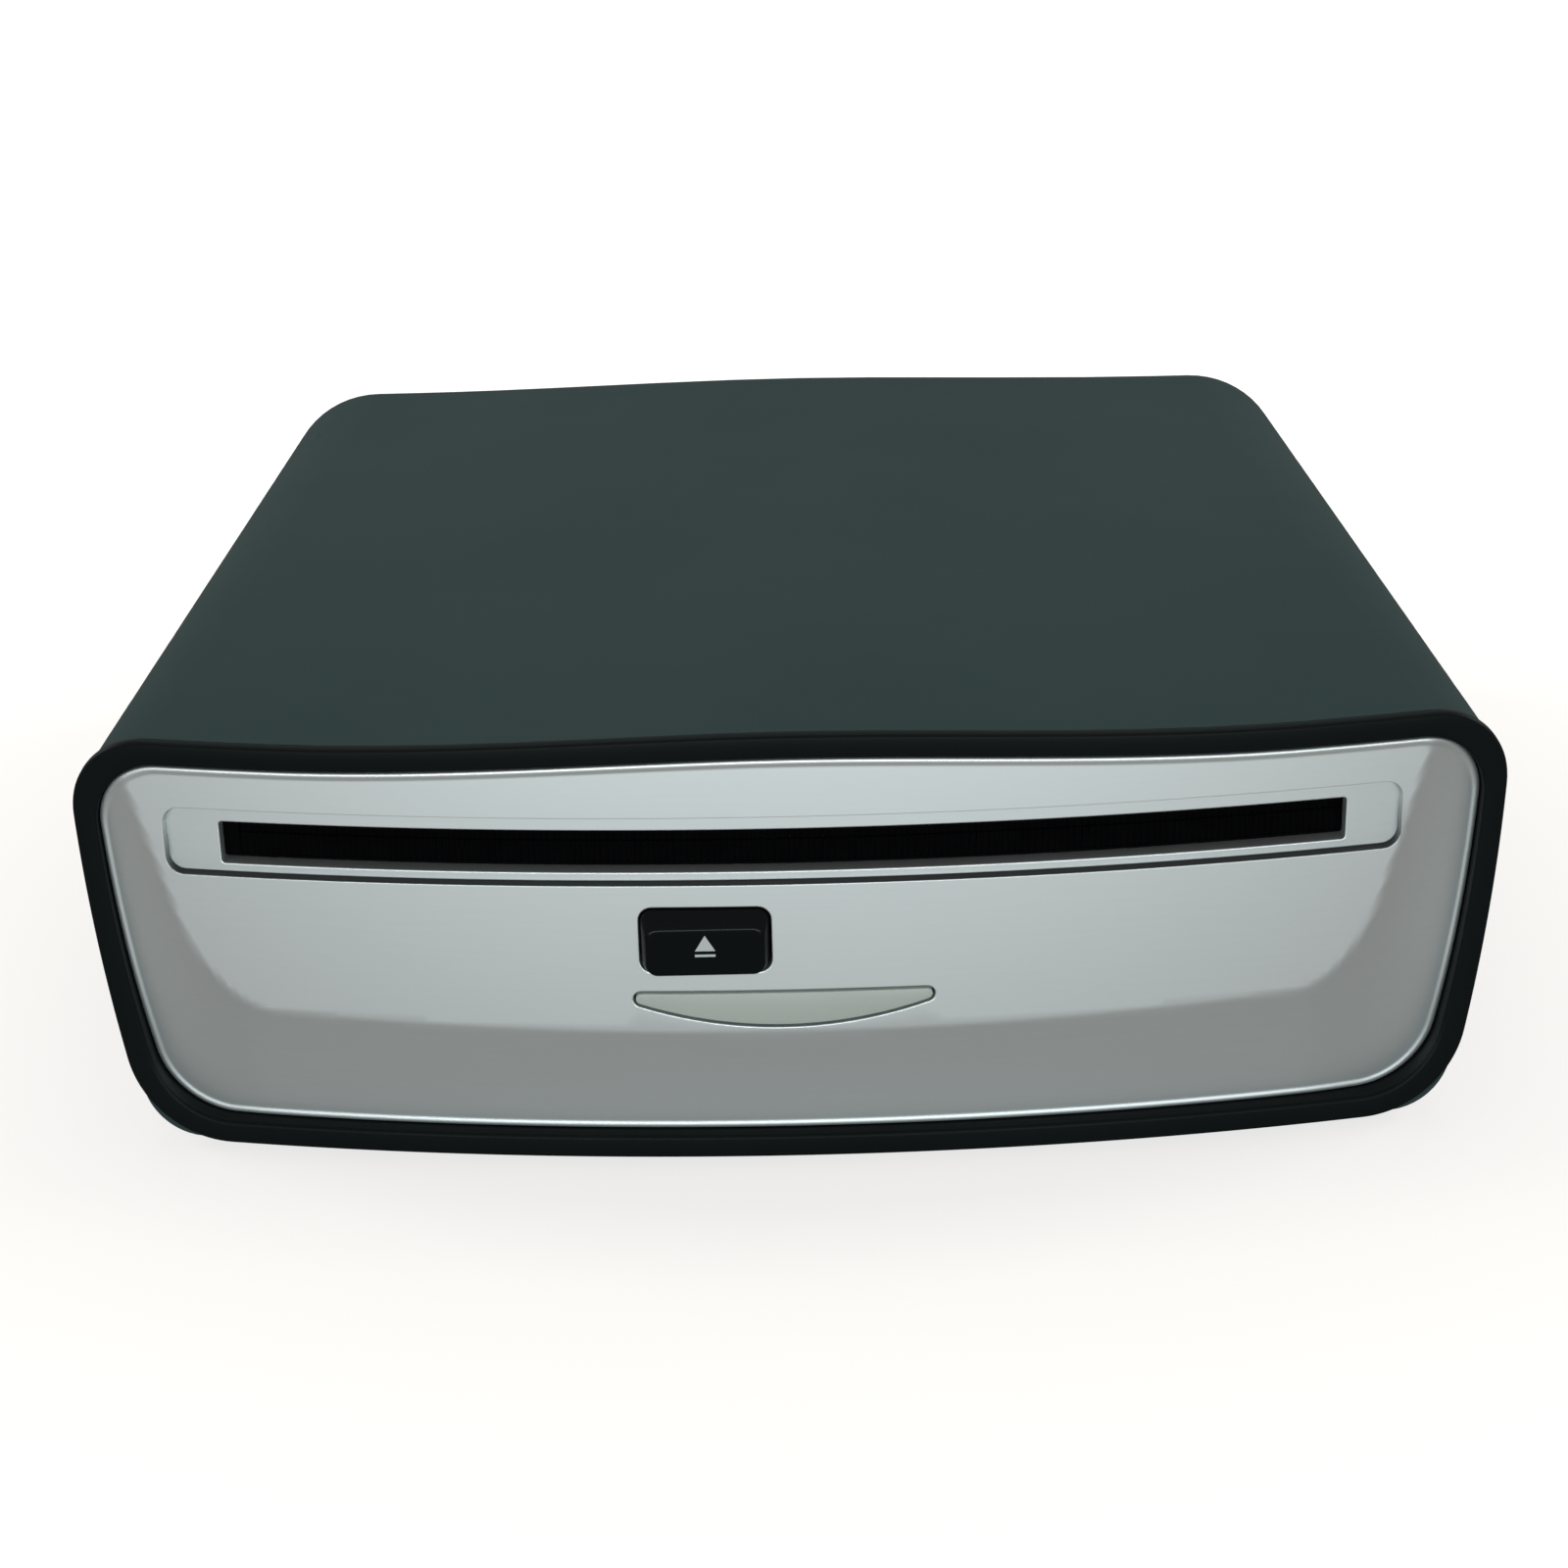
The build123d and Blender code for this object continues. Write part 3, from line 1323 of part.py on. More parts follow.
# Traverse deck with the holders of the rods and the lead screw
deck_top = deck_z + plate
rod_places = (disc_y - rod_spread, disc_y + rod_spread)
screw_y = disc_y + rod_spread + screw_offset
lens_x = -lens_start
rod_inner_x = -(spindle_motor_radius - holder_length)
holder_half = rod_radius + plate
with BuildPart() as traverse_deck:
    with BuildSketch(Plane.XY.offset(deck_z)):
        with Locations(((deck_left + deck_right) / 2, (deck_front + deck_rear) / 2)):
            Rectangle(deck_right - deck_left, deck_rear - deck_front)
        with Locations(*deck_points):
            Circle(screw_radius + fit, mode=Mode.SUBTRACT)
        with Locations((sled_motor_x + sled_motor_length / 2, screw_y)):
            Rectangle(sled_motor_length + 4 * fit, 2 * sled_motor_radius + 4 * fit, mode=Mode.SUBTRACT)
        window_left = deck_left + 2 * holder_length
        window_right = -spindle_motor_radius - 2 * plate
        with Locations(((window_left + window_right) / 2, disc_y)):
            Rectangle(window_right - window_left, 2 * (sled_half - holder_length), mode=Mode.SUBTRACT)
        with Locations((0, disc_y)):
            Circle(spindle_radius + plate, mode=Mode.SUBTRACT)
    extrude(amount=plate)
    with BuildSketch(Plane.XY.offset(deck_top)):
        for y in rod_places:
            with Locations(
                (deck_left + holder_length / 2, y), (rod_inner_x - holder_length / 2, y)
            ):
                Rectangle(holder_length, 2 * holder_half)
        with Locations((deck_left + holder_length / 2, screw_y)):
            Rectangle(holder_length, 2 * holder_half)
    extrude(amount=rod_z + holder_half - deck_top)
    with BuildSketch(Plane.XY.offset(deck_top)):
        with Locations((sled_motor_x - plate / 2, screw_y)):
            Rectangle(plate, 2 * sled_motor_radius)
    extrude(amount=rod_z + sled_motor_radius - deck_top)
    with BuildSketch(Plane.YZ.offset(deck_left)):
        with Locations(*[(y, rod_z) for y in rod_places]):
            Circle(rod_radius + running / 5)
        with Locations((screw_y, rod_z)):
            Circle(lead_radius + running)
    extrude(amount=deck_right - deck_left, mode=Mode.SUBTRACT)
save(traverse_deck.part, "traverse_deck")
save(
    screw(
        Plane.XY.offset(deck_top),
        deck_points,
        screw_head_radius,
        screw_head_height,
        screw_radius,
        plate + screw_length - 2 * wall,
    ),
    "deck_screws",
)

for y, name in zip(rod_places, ("guide_rod_front", "guide_rod_rear")):
    with BuildPart() as rod:
        with BuildSketch(Plane.YZ.offset(deck_left)):
            with Locations((y, rod_z)):
                Circle(rod_radius)
        extrude(amount=rod_inner_x - deck_left)
    save(rod.part, name)

with BuildPart() as lead_screw:
    with BuildSketch(Plane.YZ.offset(deck_left)):
        with Locations((screw_y, rod_z)):
            Circle(lead_radius)
    extrude(amount=sled_motor_x + sled_motor_length / 2 - deck_left)
save(lead_screw.part, "lead_screw")

with BuildPart() as sled_motor:
    with BuildSketch(Plane.YZ.offset(sled_motor_x)):
        with Locations((screw_y, rod_z)):
            Circle(sled_motor_radius)
    extrude(amount=sled_motor_length)
    with BuildSketch(Plane.YZ.offset(sled_motor_x)):
        with Locations((screw_y, rod_z)):
            Circle(lead_radius + running)
    extrude(amount=sled_motor_length / 2 + fit, mode=Mode.SUBTRACT)
save(sled_motor.part, "sled_motor")

with BuildPart() as spindle_motor:
    with BuildSketch(Plane.XY.offset(deck_top)):
        with Locations((0, disc_y)):
            Circle(spindle_motor_radius)
            Circle(spindle_radius + running, mode=Mode.SUBTRACT)
    extrude(amount=spindle_motor_height)
save(spindle_motor.part, "spindle_motor")

pad_low = play_z - pad_thickness
platter_low = pad_low - platter_thickness
with BuildPart() as turntable:
    with BuildSketch(Plane.XY.offset(platter_low)):
        with Locations((0, disc_y)):
            Circle(platter_radius)
    extrude(amount=platter_thickness)
    with BuildSketch(Plane.XY.offset(pad_low)):
        with Locations((0, disc_y)):
            Circle(hub_radius)
    extrude(amount=pad_thickness + hub_height)
    chamfer(turntable.edges().sort_by(Axis.Z)[-1], hub_height / 2)
    with BuildSketch(Plane.XY.offset(platter_low)):
        with Locations((0, disc_y)):
            Circle(spindle_radius)
    extrude(amount=-(platter_low - deck_top - fit))
save(turntable.part, "turntable")

with BuildPart() as platter_pad:
    with BuildSketch(Plane.XY.offset(pad_low)):
        with Locations((0, disc_y)):
            Circle(platter_radius - fit)
            Circle(hub_radius + 4 * fit, mode=Mode.SUBTRACT)
    extrude(amount=pad_thickness)
save(platter_pad.part, "platter_pad")

# Pickup sled on its rods, with the nut on the lead screw and the lens
sled_low = deck_top + sled_float
sled_middle_x = lens_x + (sled_inner - sled_outer) / 2
ear_length = sled_inner - fit * 3 + sled_outer / 2
ear_middle_x = lens_x + sled_inner - fit * 3 - ear_length / 2
with BuildPart() as pickup_sled:
    with BuildSketch(Plane.XY.offset(sled_low)):
        with Locations((sled_middle_x, disc_y)):
            Rectangle(sled_inner + sled_outer, 2 * sled_half)
        with Locations((ear_middle_x, disc_y)):
            Rectangle(ear_length, 2 * (rod_spread + holder_half))
        with Locations((ear_middle_x, (disc_y + screw_y + holder_half) / 2)):
            Rectangle(ear_length / 2, screw_y + holder_half - disc_y)
    extrude(amount=sled_thickness)
    with BuildSketch(Plane.YZ.offset(lens_x - sled_outer)):
        with Locations(*[(y, rod_z) for y in rod_places]):
            Circle(rod_radius + running)
        with Locations((screw_y, rod_z)):
            Circle(lead_radius + running)
    extrude(amount=sled_inner + sled_outer, mode=Mode.SUBTRACT)
save(pickup_sled.part, "pickup_sled")

lens_low = sled_low + sled_thickness + lens_gap
with BuildPart() as objective_lens:
    with BuildSketch(Plane.XY.offset(lens_low)):
        with Locations((lens_x, disc_y)):
            RectangleRounded(2 * lens_radius + 2 * plate, 2 * lens_radius + 2 * plate, plate)
    extrude(amount=lens_height / 2)
    with BuildSketch(Plane.XY.offset(lens_low)):
        with Locations((lens_x, disc_y)):
            Circle(lens_radius)
    extrude(amount=lens_height)
    chamfer(objective_lens.edges().sort_by(Axis.Z)[-1], lens_height / 4)
save(objective_lens.part, "objective_lens")
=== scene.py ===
# %% [markdown]
# # A slot-loading disc drive
# The drive stands on four rubber feet: a dark coated cover over a flat base, and in front a
# satin black rim round a bowed silver face. Its exact shapes come in as a fixed frame, and
# this lesson gives them their finishes, their fine detail, a camera and soft studio light.

# %% Load the frame
import bpy
import bmesh
import json
from math import asin, atan2, cos, hypot, pi, radians, sin, sqrt, tan
from mathutils import Matrix, Vector
from mathutils.geometry import delaunay_2d_cdt
from random import Random


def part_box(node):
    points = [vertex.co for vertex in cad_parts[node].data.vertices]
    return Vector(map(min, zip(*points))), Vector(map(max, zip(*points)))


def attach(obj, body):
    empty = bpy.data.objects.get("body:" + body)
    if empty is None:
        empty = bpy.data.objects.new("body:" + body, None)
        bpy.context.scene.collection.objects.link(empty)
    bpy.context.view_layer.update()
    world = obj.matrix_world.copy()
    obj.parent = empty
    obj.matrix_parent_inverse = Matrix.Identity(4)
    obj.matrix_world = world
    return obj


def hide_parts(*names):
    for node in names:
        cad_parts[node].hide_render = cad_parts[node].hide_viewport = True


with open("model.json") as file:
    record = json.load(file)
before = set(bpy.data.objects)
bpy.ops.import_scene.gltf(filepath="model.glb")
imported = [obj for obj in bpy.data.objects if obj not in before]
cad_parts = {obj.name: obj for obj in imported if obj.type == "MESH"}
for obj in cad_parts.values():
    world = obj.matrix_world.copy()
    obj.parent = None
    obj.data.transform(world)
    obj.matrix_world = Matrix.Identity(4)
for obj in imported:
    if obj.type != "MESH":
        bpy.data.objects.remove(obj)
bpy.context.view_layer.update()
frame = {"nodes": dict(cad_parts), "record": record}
nodes = frame["nodes"]
MM = 0.001

# %% [markdown]
# ## Node groups shared by the finishes
# A real surface is never one flat number: paint has a fine grain, plastic a faint mottle, and
# metal a direction. Each effect could be copied into every material, but a node group is built
# once and placed where it is needed, with its own values. A few helpers keep the wiring short.

# %% Helpers for shader trees
def connect(tree, socket, value):
    """Give a socket a plain value, or link another node's output into it."""
    if isinstance(value, (int, float, tuple)):
        socket.default_value = value
    else:
        tree.links.new(value, socket)


def feed(tree, node, **values):
    """Set a node's inputs by name, with _ for a space, to plain values or other outputs."""
    for label, value in values.items():
        connect(tree, node.inputs[label.replace("_", " ")], value)


def new_group(name, inputs, outputs):
    """An empty shader group with typed sockets; returns its tree, what comes in and its end."""
    tree = bpy.data.node_groups.new(name, "ShaderNodeTree")
    for sockets, in_out in ((inputs, "INPUT"), (outputs, "OUTPUT")):
        for label, kind in sockets.items():
            tree.interface.new_socket(label.replace("_", " "), in_out=in_out,
                                      socket_type="NodeSocket" + kind)
    return tree, tree.nodes.new("NodeGroupInput").outputs, tree.nodes.new("NodeGroupOutput")


def math_node(tree, operation, *values):
    """A Math node fed by sockets or plain numbers; returns its output."""
    node = tree.nodes.new("ShaderNodeMath")
    node.operation = operation
    for socket, value in zip(node.inputs, values):
        connect(tree, socket, value)
    return node.outputs[0]


print("tree helpers ready")

# %% [markdown]
# Three more helpers are about colour and pattern. The Mix node keeps sockets for numbers,
# vectors and colours under the same names, so its colour sockets are told by number. A noise
# runs from 0 to 1 round its middle, and varied() swings any value up and down with it.

# %% Helpers for colours and patterns
MIX_FACTOR, MIX_FIRST, MIX_SECOND, MIX_RESULT = 0, 6, 7, 2
NOISE_MIDDLE = 0.5


def mix_colour(tree, amount, first, second):
    """A colour mix; amount and both colours may be sockets or plain values."""
    node = tree.nodes.new("ShaderNodeMix")
    node.data_type = "RGBA"
    for number, value in ((MIX_FACTOR, amount), (MIX_FIRST, first), (MIX_SECOND, second)):
        connect(tree, node.inputs[number], value)
    return node.outputs[MIX_RESULT]


def noise(tree, vector, scale, detail, roughness):
    """A noise texture over the given coordinates; scale may be a socket."""
    node = tree.nodes.new("ShaderNodeTexNoise")
    feed(tree, node, Detail=detail, Roughness=roughness, Scale=scale, Vector=vector)
    return node.outputs["Fac"]


def varied(tree, value, pattern, spread):
    """A value that swings by spread as a noise pattern leaves its middle."""
    centred = math_node(tree, "SUBTRACT", pattern, NOISE_MIDDLE)
    return math_node(tree, "ADD", value, math_node(tree, "MULTIPLY", centred, spread))


print("pattern helpers ready")

# %% [markdown]
# ### Grain
# Powder coat, moulded texture and flocking all break the light up with tiny bumps. One bump
# group does them all: a fine noise gives the height, and each finish sets how fine and how deep.

# %% Grain group
tree, given, end = new_group(
    "surface grain", dict(Vector="Vector", Scale="Float", Depth="Float", Strength="Float"),
    dict(Normal="Vector"))
height = noise(tree, given["Vector"], given["Scale"], detail=2.0, roughness=0.6)
bump = tree.nodes.new("ShaderNodeBump")
feed(tree, bump, Strength=given["Strength"], Distance=given["Depth"], Height=height)
feed(tree, end, Normal=bump.outputs["Normal"])
grain_group = tree
print("grain group nodes", len(tree.nodes))

# %% [markdown]
# ### Mottle
# Paint film and moulded plastic vary slowly from place to place, in colour and in how glossy
# they are. A soft noise shifts both a little round the values that each material gives.

# %% Mottle group
MOTTLE_CONTRAST, MOTTLE_SOFT = 1.6, 0.2
tree, given, end = new_group(
    "colour mottle", dict(Vector="Vector", Scale="Float", Colour="Color",
                          Second_Colour="Color", Roughness="Float", Spread="Float"),
    dict(Colour="Color", Roughness="Float"))
cloud = noise(tree, given["Vector"], given["Scale"], detail=4.0, roughness=0.6)
strong = math_node(tree, "MULTIPLY", cloud, MOTTLE_CONTRAST)
mask = math_node(tree, "SMOOTH_MIN", strong, 1.0, MOTTLE_SOFT)
both_ways = math_node(tree, "MULTIPLY", given["Spread"], 2.0)
feed(tree, end, Colour=mix_colour(tree, mask, given["Colour"], given["Second Colour"]),
     Roughness=varied(tree, given["Roughness"], cloud, both_ways))
mottle_group = tree
print("mottle group nodes", len(tree.nodes))

# %% [markdown]
# ### Brushing
# The silver face carries a faint lengthwise grain, as sheet metal has from the brush. A noise
# that is squeezed along one axis gives long fine streaks for the colour and the roughness.

# %% Brushing group
tree, given, end = new_group(
    "lengthwise brushing", dict(Vector="Vector", Stretch="Vector", Colour="Color",
                                Streak_Colour="Color", Roughness="Float", Spread="Float"),
    dict(Colour="Color", Roughness="Float"))
squeeze = tree.nodes.new("ShaderNodeVectorMath")
squeeze.operation = "MULTIPLY"
tree.links.new(given["Vector"], squeeze.inputs[0])
tree.links.new(given["Stretch"], squeeze.inputs[1])
streaks = noise(tree, squeeze.outputs[0], scale=1.0, detail=2.0, roughness=0.5)
feed(tree, end, Colour=mix_colour(tree, streaks, given["Colour"], given["Streak Colour"]),
     Roughness=varied(tree, given["Roughness"], streaks, given["Spread"]))
brushing_group = tree
print("brushing group nodes", len(tree.nodes))

# %% [markdown]
# ## Finishes
# Every finish is one Principled shader fed by the groups. What is the same all over, such as
# how metallic it is, is set on the shader itself; what varies comes from the groups.

# %% Helpers for finishes
finishes = {}


def place(tree, group, **values):
    """Put a group into a material's tree, set its inputs by name and return its outputs."""
    node = tree.nodes.new("ShaderNodeGroup")
    node.node_tree = group
    feed(tree, node, **values)
    return node.outputs


def rgb(red, green, blue):
    """A linear colour from the 0 to 255 values that a screen shows."""
    def linear(value):
        value = value / 255
        return value / 12.92 if value <= 0.04045 else ((value + 0.055) / 1.055) ** 2.4
    return (linear(red), linear(green), linear(blue), 1.0)


def new_finish(name, **shader_values):
    """A material with a Principled shader; returns its tree, shader and object coordinates."""
    material = bpy.data.materials.new(name)
    material.use_nodes = True
    tree = material.node_tree
    shader = tree.nodes["Principled BSDF"]
    feed(tree, shader, **shader_values)
    finishes[name] = material
    return tree, shader, tree.nodes.new("ShaderNodeTexCoord").outputs["Object"]


def plain_finish(name, colour, second, roughness, spread=0.05, mottle=40.0, grain=0.0,
                 grain_scale=2500.0, grain_depth=0.00002, **shader_values):
    """A mottled finish with an optional grain, enough for most plastics, metals and rubbers."""
    tree, shader, place_of = new_finish(name, **shader_values)
    mottled = place(tree, mottle_group, Vector=place_of, Scale=mottle, Colour=rgb(*colour),
                    Second_Colour=rgb(*second), Roughness=roughness, Spread=spread)
    feed(tree, shader, Base_Color=mottled["Colour"], Roughness=mottled["Roughness"])
    if grain:
        grained = place(tree, grain_group, Vector=place_of, Scale=grain_scale,
                        Depth=grain_depth, Strength=grain)
        feed(tree, shader, Normal=grained["Normal"])


print("finish helpers ready")

# %% [markdown]
# ### Cover, base and rim
# The cover is sheet metal under a slate powder coat with a touch of teal: matte, finely
# grained, with hardly any shine. The rim is smoother black plastic. All three are a dark colour
# with a low specular level, which keeps a pale room from veiling them.

# %% Cover, base and rim finishes
POWDER_COAT = dict(grain=0.25, grain_scale=3200.0, grain_depth=0.00003, Specular_IOR_Level=0.03)
plain_finish("cover_paint", (47, 62, 62), (42, 57, 57), 0.6, spread=0.04, mottle=14.0,
             **POWDER_COAT)
plain_finish("base_metal", (50, 62, 63), (45, 56, 57), 0.6, mottle=20.0, **POWDER_COAT)
plain_finish("rim_plastic", (18, 22, 23), (14, 18, 19), 0.36, mottle=25.0,
             grain=0.08, grain_scale=1800.0, Specular_IOR_Level=0.03)
print("finishes", len(finishes))

# %% [markdown]
# ### Silver face
# The face is plastic under a metallic silver paint. The paint's flakes lie nearly flat, which
# makes it cool and bright where it faces the light and darker where it turns away. A metallic
# shader of middling roughness with faint streaks comes close. The lower wall of the pan round
# the slot lies in deep shade, which is painted into the colour here, and the mesh carries a
# value from 0 to 1 that says where.

# %% Silver face finish
# Painted shade: the dark grey that the pan's lower wall is mixed toward in the face's colour.
PAINTED_SHADE_COLOUR = rgb(52, 53, 53)
tree, shader, place_of = new_finish("face_silver", Metallic=0.85)
streaks = place(tree, brushing_group, Vector=place_of, Stretch=(25.0, 900.0, 1600.0),
                Colour=rgb(194, 199, 200), Streak_Colour=rgb(189, 194, 195),
                Roughness=0.43, Spread=0.03)
flakes = place(tree, grain_group, Vector=place_of, Scale=5200.0, Depth=0.000004, Strength=0.2)
# Painted shade: a value on the mesh mixes the pan's lower wall toward that dark grey.
painted_pan_shade = tree.nodes.new("ShaderNodeAttribute")
painted_pan_shade.attribute_name = "painted_recess_shade"
face_colour = mix_colour(tree, painted_pan_shade.outputs["Fac"], streaks["Colour"], PAINTED_SHADE_COLOUR)
feed(tree, shader, Base_Color=face_colour, Roughness=streaks["Roughness"],
     Normal=flakes["Normal"])
print("silver face nodes", len(tree.nodes))

# %% [markdown]
# ### Button, icon, window and slot
# The button is polished black plastic, its eject mark is pale ink, the window is milky
# plastic with a green-grey tint, and the slot is lined with black flock that eats the light.

# %% Finishes of the small front pieces
plain_finish("button_plastic", (13, 16, 17), (10, 13, 14), 0.2, spread=0.03, mottle=60.0,
             Specular_IOR_Level=0.06)
plain_finish("icon_ink", (172, 175, 177), (160, 163, 165), 0.5, grain=0.1)
plain_finish("window_plastic", (160, 166, 160), (154, 160, 154), 0.4, spread=0.04, mottle=60.0,
             Specular_IOR_Level=0.2)
plain_finish("lamp_plastic", (225, 228, 226), (214, 218, 216), 0.2)
plain_finish("felt", (7, 7, 8), (4, 4, 5), 0.98, mottle=400.0, grain=1.0, grain_scale=2600.0,
             grain_depth=0.0001, Specular_IOR_Level=0.02)
print("finishes", len(finishes))

# %% [markdown]
# ### Pieces inside
# Behind the slot are dyed plastics, a green circuit board, rubber and the lens, and metals: a
# chassis of zinc-plated sheet steel, bright rods, duller screws, a brass worm and motors in
# alloy cans. They are seen only with the cover away, but each has its own finish. A table keeps
# them readable: the two colours of the mottle, the roughness, and what else differs.

# %% Finishes of the pieces inside
METAL = dict(Metallic=1.0)
INNER_FINISHES = {
    "board": ((22, 84, 46), (18, 72, 40), 0.32, dict(mottle=90.0, grain=0.15, grain_scale=700.0)),
    "black_plastic": ((30, 31, 33), (24, 25, 27), 0.45, dict(mottle=50.0, grain=0.2)),
    "white_plastic": ((222, 220, 210), (212, 210, 200), 0.42, dict(mottle=50.0, grain=0.1)),
    "soft_rubber": ((28, 28, 29), (22, 22, 23), 0.8,
                    dict(mottle=80.0, grain=0.5, grain_scale=1500.0)),
    "roller_rubber": ((74, 75, 78), (64, 65, 68), 0.75,
                      dict(mottle=90.0, grain=0.4, grain_scale=1500.0)),
    "ribbon_film": ((205, 208, 212), (190, 194, 200), 0.35, dict(mottle=80.0)),
    "lens_glass": ((206, 214, 226), (190, 200, 220), 0.05,
                   dict(mottle=60.0, Transmission_Weight=0.6, IOR=1.5)),
    "sheet_steel": ((176, 178, 182), (158, 161, 166), 0.36,
                    dict(METAL, spread=0.12, mottle=70.0, grain=0.1, grain_scale=900.0)),
    "bright_steel": ((196, 197, 200), (184, 186, 190), 0.2,
                     dict(METAL, spread=0.06, mottle=120.0)),
    "screw_steel": ((120, 122, 126), (104, 106, 110), 0.32,
                    dict(METAL, spread=0.08, mottle=300.0)),
    "brass_worm": ((200, 168, 96), (182, 150, 84), 0.28, dict(METAL, mottle=150.0)),
    "alloy_can": ((190, 192, 196), (176, 178, 182), 0.3, dict(METAL, spread=0.08, mottle=90.0)),
}
for name, (colour, second, roughness, details) in INNER_FINISHES.items():
    plain_finish(name, colour, second, roughness, **details)
print("finishes", len(finishes))

# %% [markdown]
# ## Dressing the frame
# The record names a material slot for every node, and the finishes carry the same names, so one
# loop dresses the whole frame. The shapes stay exactly as they came.

# %% Give every frame node its finish
slot_of = {entry["node"]: entry["material_slot"] for entry in frame["record"]["subparts"]}
for name, obj in nodes.items():
    for material_slot in obj.material_slots:
        material_slot.material = finishes[slot_of[name]]
print("dressed", sum(len(obj.material_slots) for obj in nodes.values()), "slots")

# %% [markdown]
# ## The face's outline
# Rim and panel share one outline: a flat base, sides that bulge a little as they lean out, a
# flat shoulder at each side and a low crown between them. It could be drawn by hand as a
# curve, but worked out from its few sizes it can be moved inward evenly, which gives every
# step of the rim's section, the panel's bead and the panel's edge from one function.

# %% Sizes of the face, in millimetres
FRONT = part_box("bezel_frame")[0][1] / MM
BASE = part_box("bezel_frame")[0][2] / MM
BOW_RADIUS = 352.0
RIM_HALF, RIM_BASE_HALF, SIDE_BULGE = 81.5, 76.2, 1.4
SHOULDER, CROWN, HUMP_HALF = 50.0, 1.95, 58.0
RIM_TOP_RADIUS, RIM_LOW_RADIUS = 9.0, 12.0
TOP_SHRINK, LOW_SHRINK = 0.5, 0.9


def bow(x, setback=0.0):
    """Depth of the bowed face at x, set back by setback."""
    return FRONT + BOW_RADIUS - sqrt((BOW_RADIUS - setback) ** 2 - x * x)


def crown_height(x):
    """How far the crown rises over the shoulders at x."""
    t = min(abs(x) / HUMP_HALF, 1.0)
    return CROWN * (1 - 3 * t * t + 2 * t ** 3)


def arc(circle, start, end, steps):
    """Points on a circle from one angle to another, the first one left out."""
    x, z, radius = circle
    turns = [start + (end - start) * step / steps for step in range(1, steps + 1)]
    return [(x + radius * cos(turn), z + radius * sin(turn)) for turn in turns]


print("front at", round(FRONT, 2), "mm, bow over half the rim", round(bow(RIM_HALF) - FRONT, 2))

# %% [markdown]
# Each side is one large arc, and two smaller arcs touch it and round the corners. Moving the
# outline inward moves the large arc and shrinks the small ones, the lower nearly by the inset
# itself and the upper by half of it, as the moulding does.

# %% Outline
BASE_STEPS, LOW_STEPS, SIDE_STEPS, TOP_STEPS, SHOULDER_STEPS, HUMP_STEPS = 24, 24, 20, 20, 5, 28


def side_circles(inset):
    """The side's arc, the low corner's and the top corner's at this inset: (x, z, radius)."""
    half, base_half = RIM_HALF - inset, RIM_BASE_HALF - inset
    base, top = BASE + inset, BASE + SHOULDER - inset
    middle_x, middle_z = (half + base_half) / 2 + SIDE_BULGE, (base + top) / 2
    chord_x, chord_z = half - base_half, top - base
    chord = hypot(chord_x, chord_z)
    sag = SIDE_BULGE * chord_z / chord
    radius = (chord ** 2 / 4 + sag ** 2) / (2 * sag)
    inward = (radius - sag) / chord
    side = (middle_x - SIDE_BULGE - inward * chord_z, middle_z + inward * chord_x, radius)
    low_radius = RIM_LOW_RADIUS - inset * LOW_SHRINK
    top_radius = RIM_TOP_RADIUS - inset * TOP_SHRINK
    circles = [side]
    for corner, z in ((low_radius, base + low_radius), (top_radius, top - top_radius)):
        circles.append((side[0] + sqrt((radius - corner) ** 2 - (z - side[1]) ** 2), z, corner))
    return circles


def outline(inset):
    """The outline moved inward by inset, anticlockwise from the middle of the base."""
    side, low, top = side_circles(inset)
    low_turn = atan2(low[1] - side[1], low[0] - side[0])
    top_turn = atan2(top[1] - side[1], top[0] - side[0])
    points = [(low[0] * step / BASE_STEPS, BASE + inset) for step in range(BASE_STEPS + 1)]
    points += arc(low, -pi / 2, low_turn, LOW_STEPS)
    points += arc(side, low_turn, top_turn, SIDE_STEPS)
    points += arc(top, top_turn, pi / 2, TOP_STEPS)
    shoulder = BASE + SHOULDER - inset
    inner = [top[0] + (HUMP_HALF - top[0]) * step / SHOULDER_STEPS
             for step in range(1, SHOULDER_STEPS + 1)]
    inner += [HUMP_HALF * (1 - step / HUMP_STEPS) for step in range(1, HUMP_STEPS + 1)]
    points += [(x, shoulder + crown_height(x)) for x in inner]
    return points + [(-x, z) for x, z in points[-2:0:-1]]


print("outline points", len(outline(0.0)))

# %% [markdown]
# ## Building pieces
# Every piece is made in millimetres as a bmesh, Blender's editable mesh, then scaled to metres
# and turned into an object that rides on a body of the frame. Most shapes here are bands: rings
# of equally many points, joined ring to ring by quads, open, closed on themselves or capped.

# %% Helpers that build meshes
def add_object(name, data):
    """A new object in the scene, round a mesh, a camera or a lamp."""
    obj = bpy.data.objects.new(name, data)
    bpy.context.collection.objects.link(obj)
    return obj


def mesh_object(name, shape, finish):
    """Turn a bmesh into an object with a finish."""
    mesh = bpy.data.meshes.new(name)
    shape.to_mesh(mesh)
    shape.free()
    mesh.materials.append(finishes[finish])
    return add_object(name, mesh)


def mesh_piece(name, shape, finish, body, *stands_for, smooth=35.0):
    """Turn a bmesh in millimetres into a dressed piece that rides on a body."""
    bmesh.ops.scale(shape, vec=(MM, MM, MM), verts=shape.verts)
    bmesh.ops.recalc_face_normals(shape, faces=shape.faces)
    piece = mesh_object(name, shape, finish)
    mesh = piece.data
    mesh.shade_smooth()
    mesh.set_sharp_from_angle(angle=radians(smooth))
    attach(piece, body)
    if stands_for:
        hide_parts(*stands_for)
    print(name, len(mesh.polygons), "faces")
    return piece


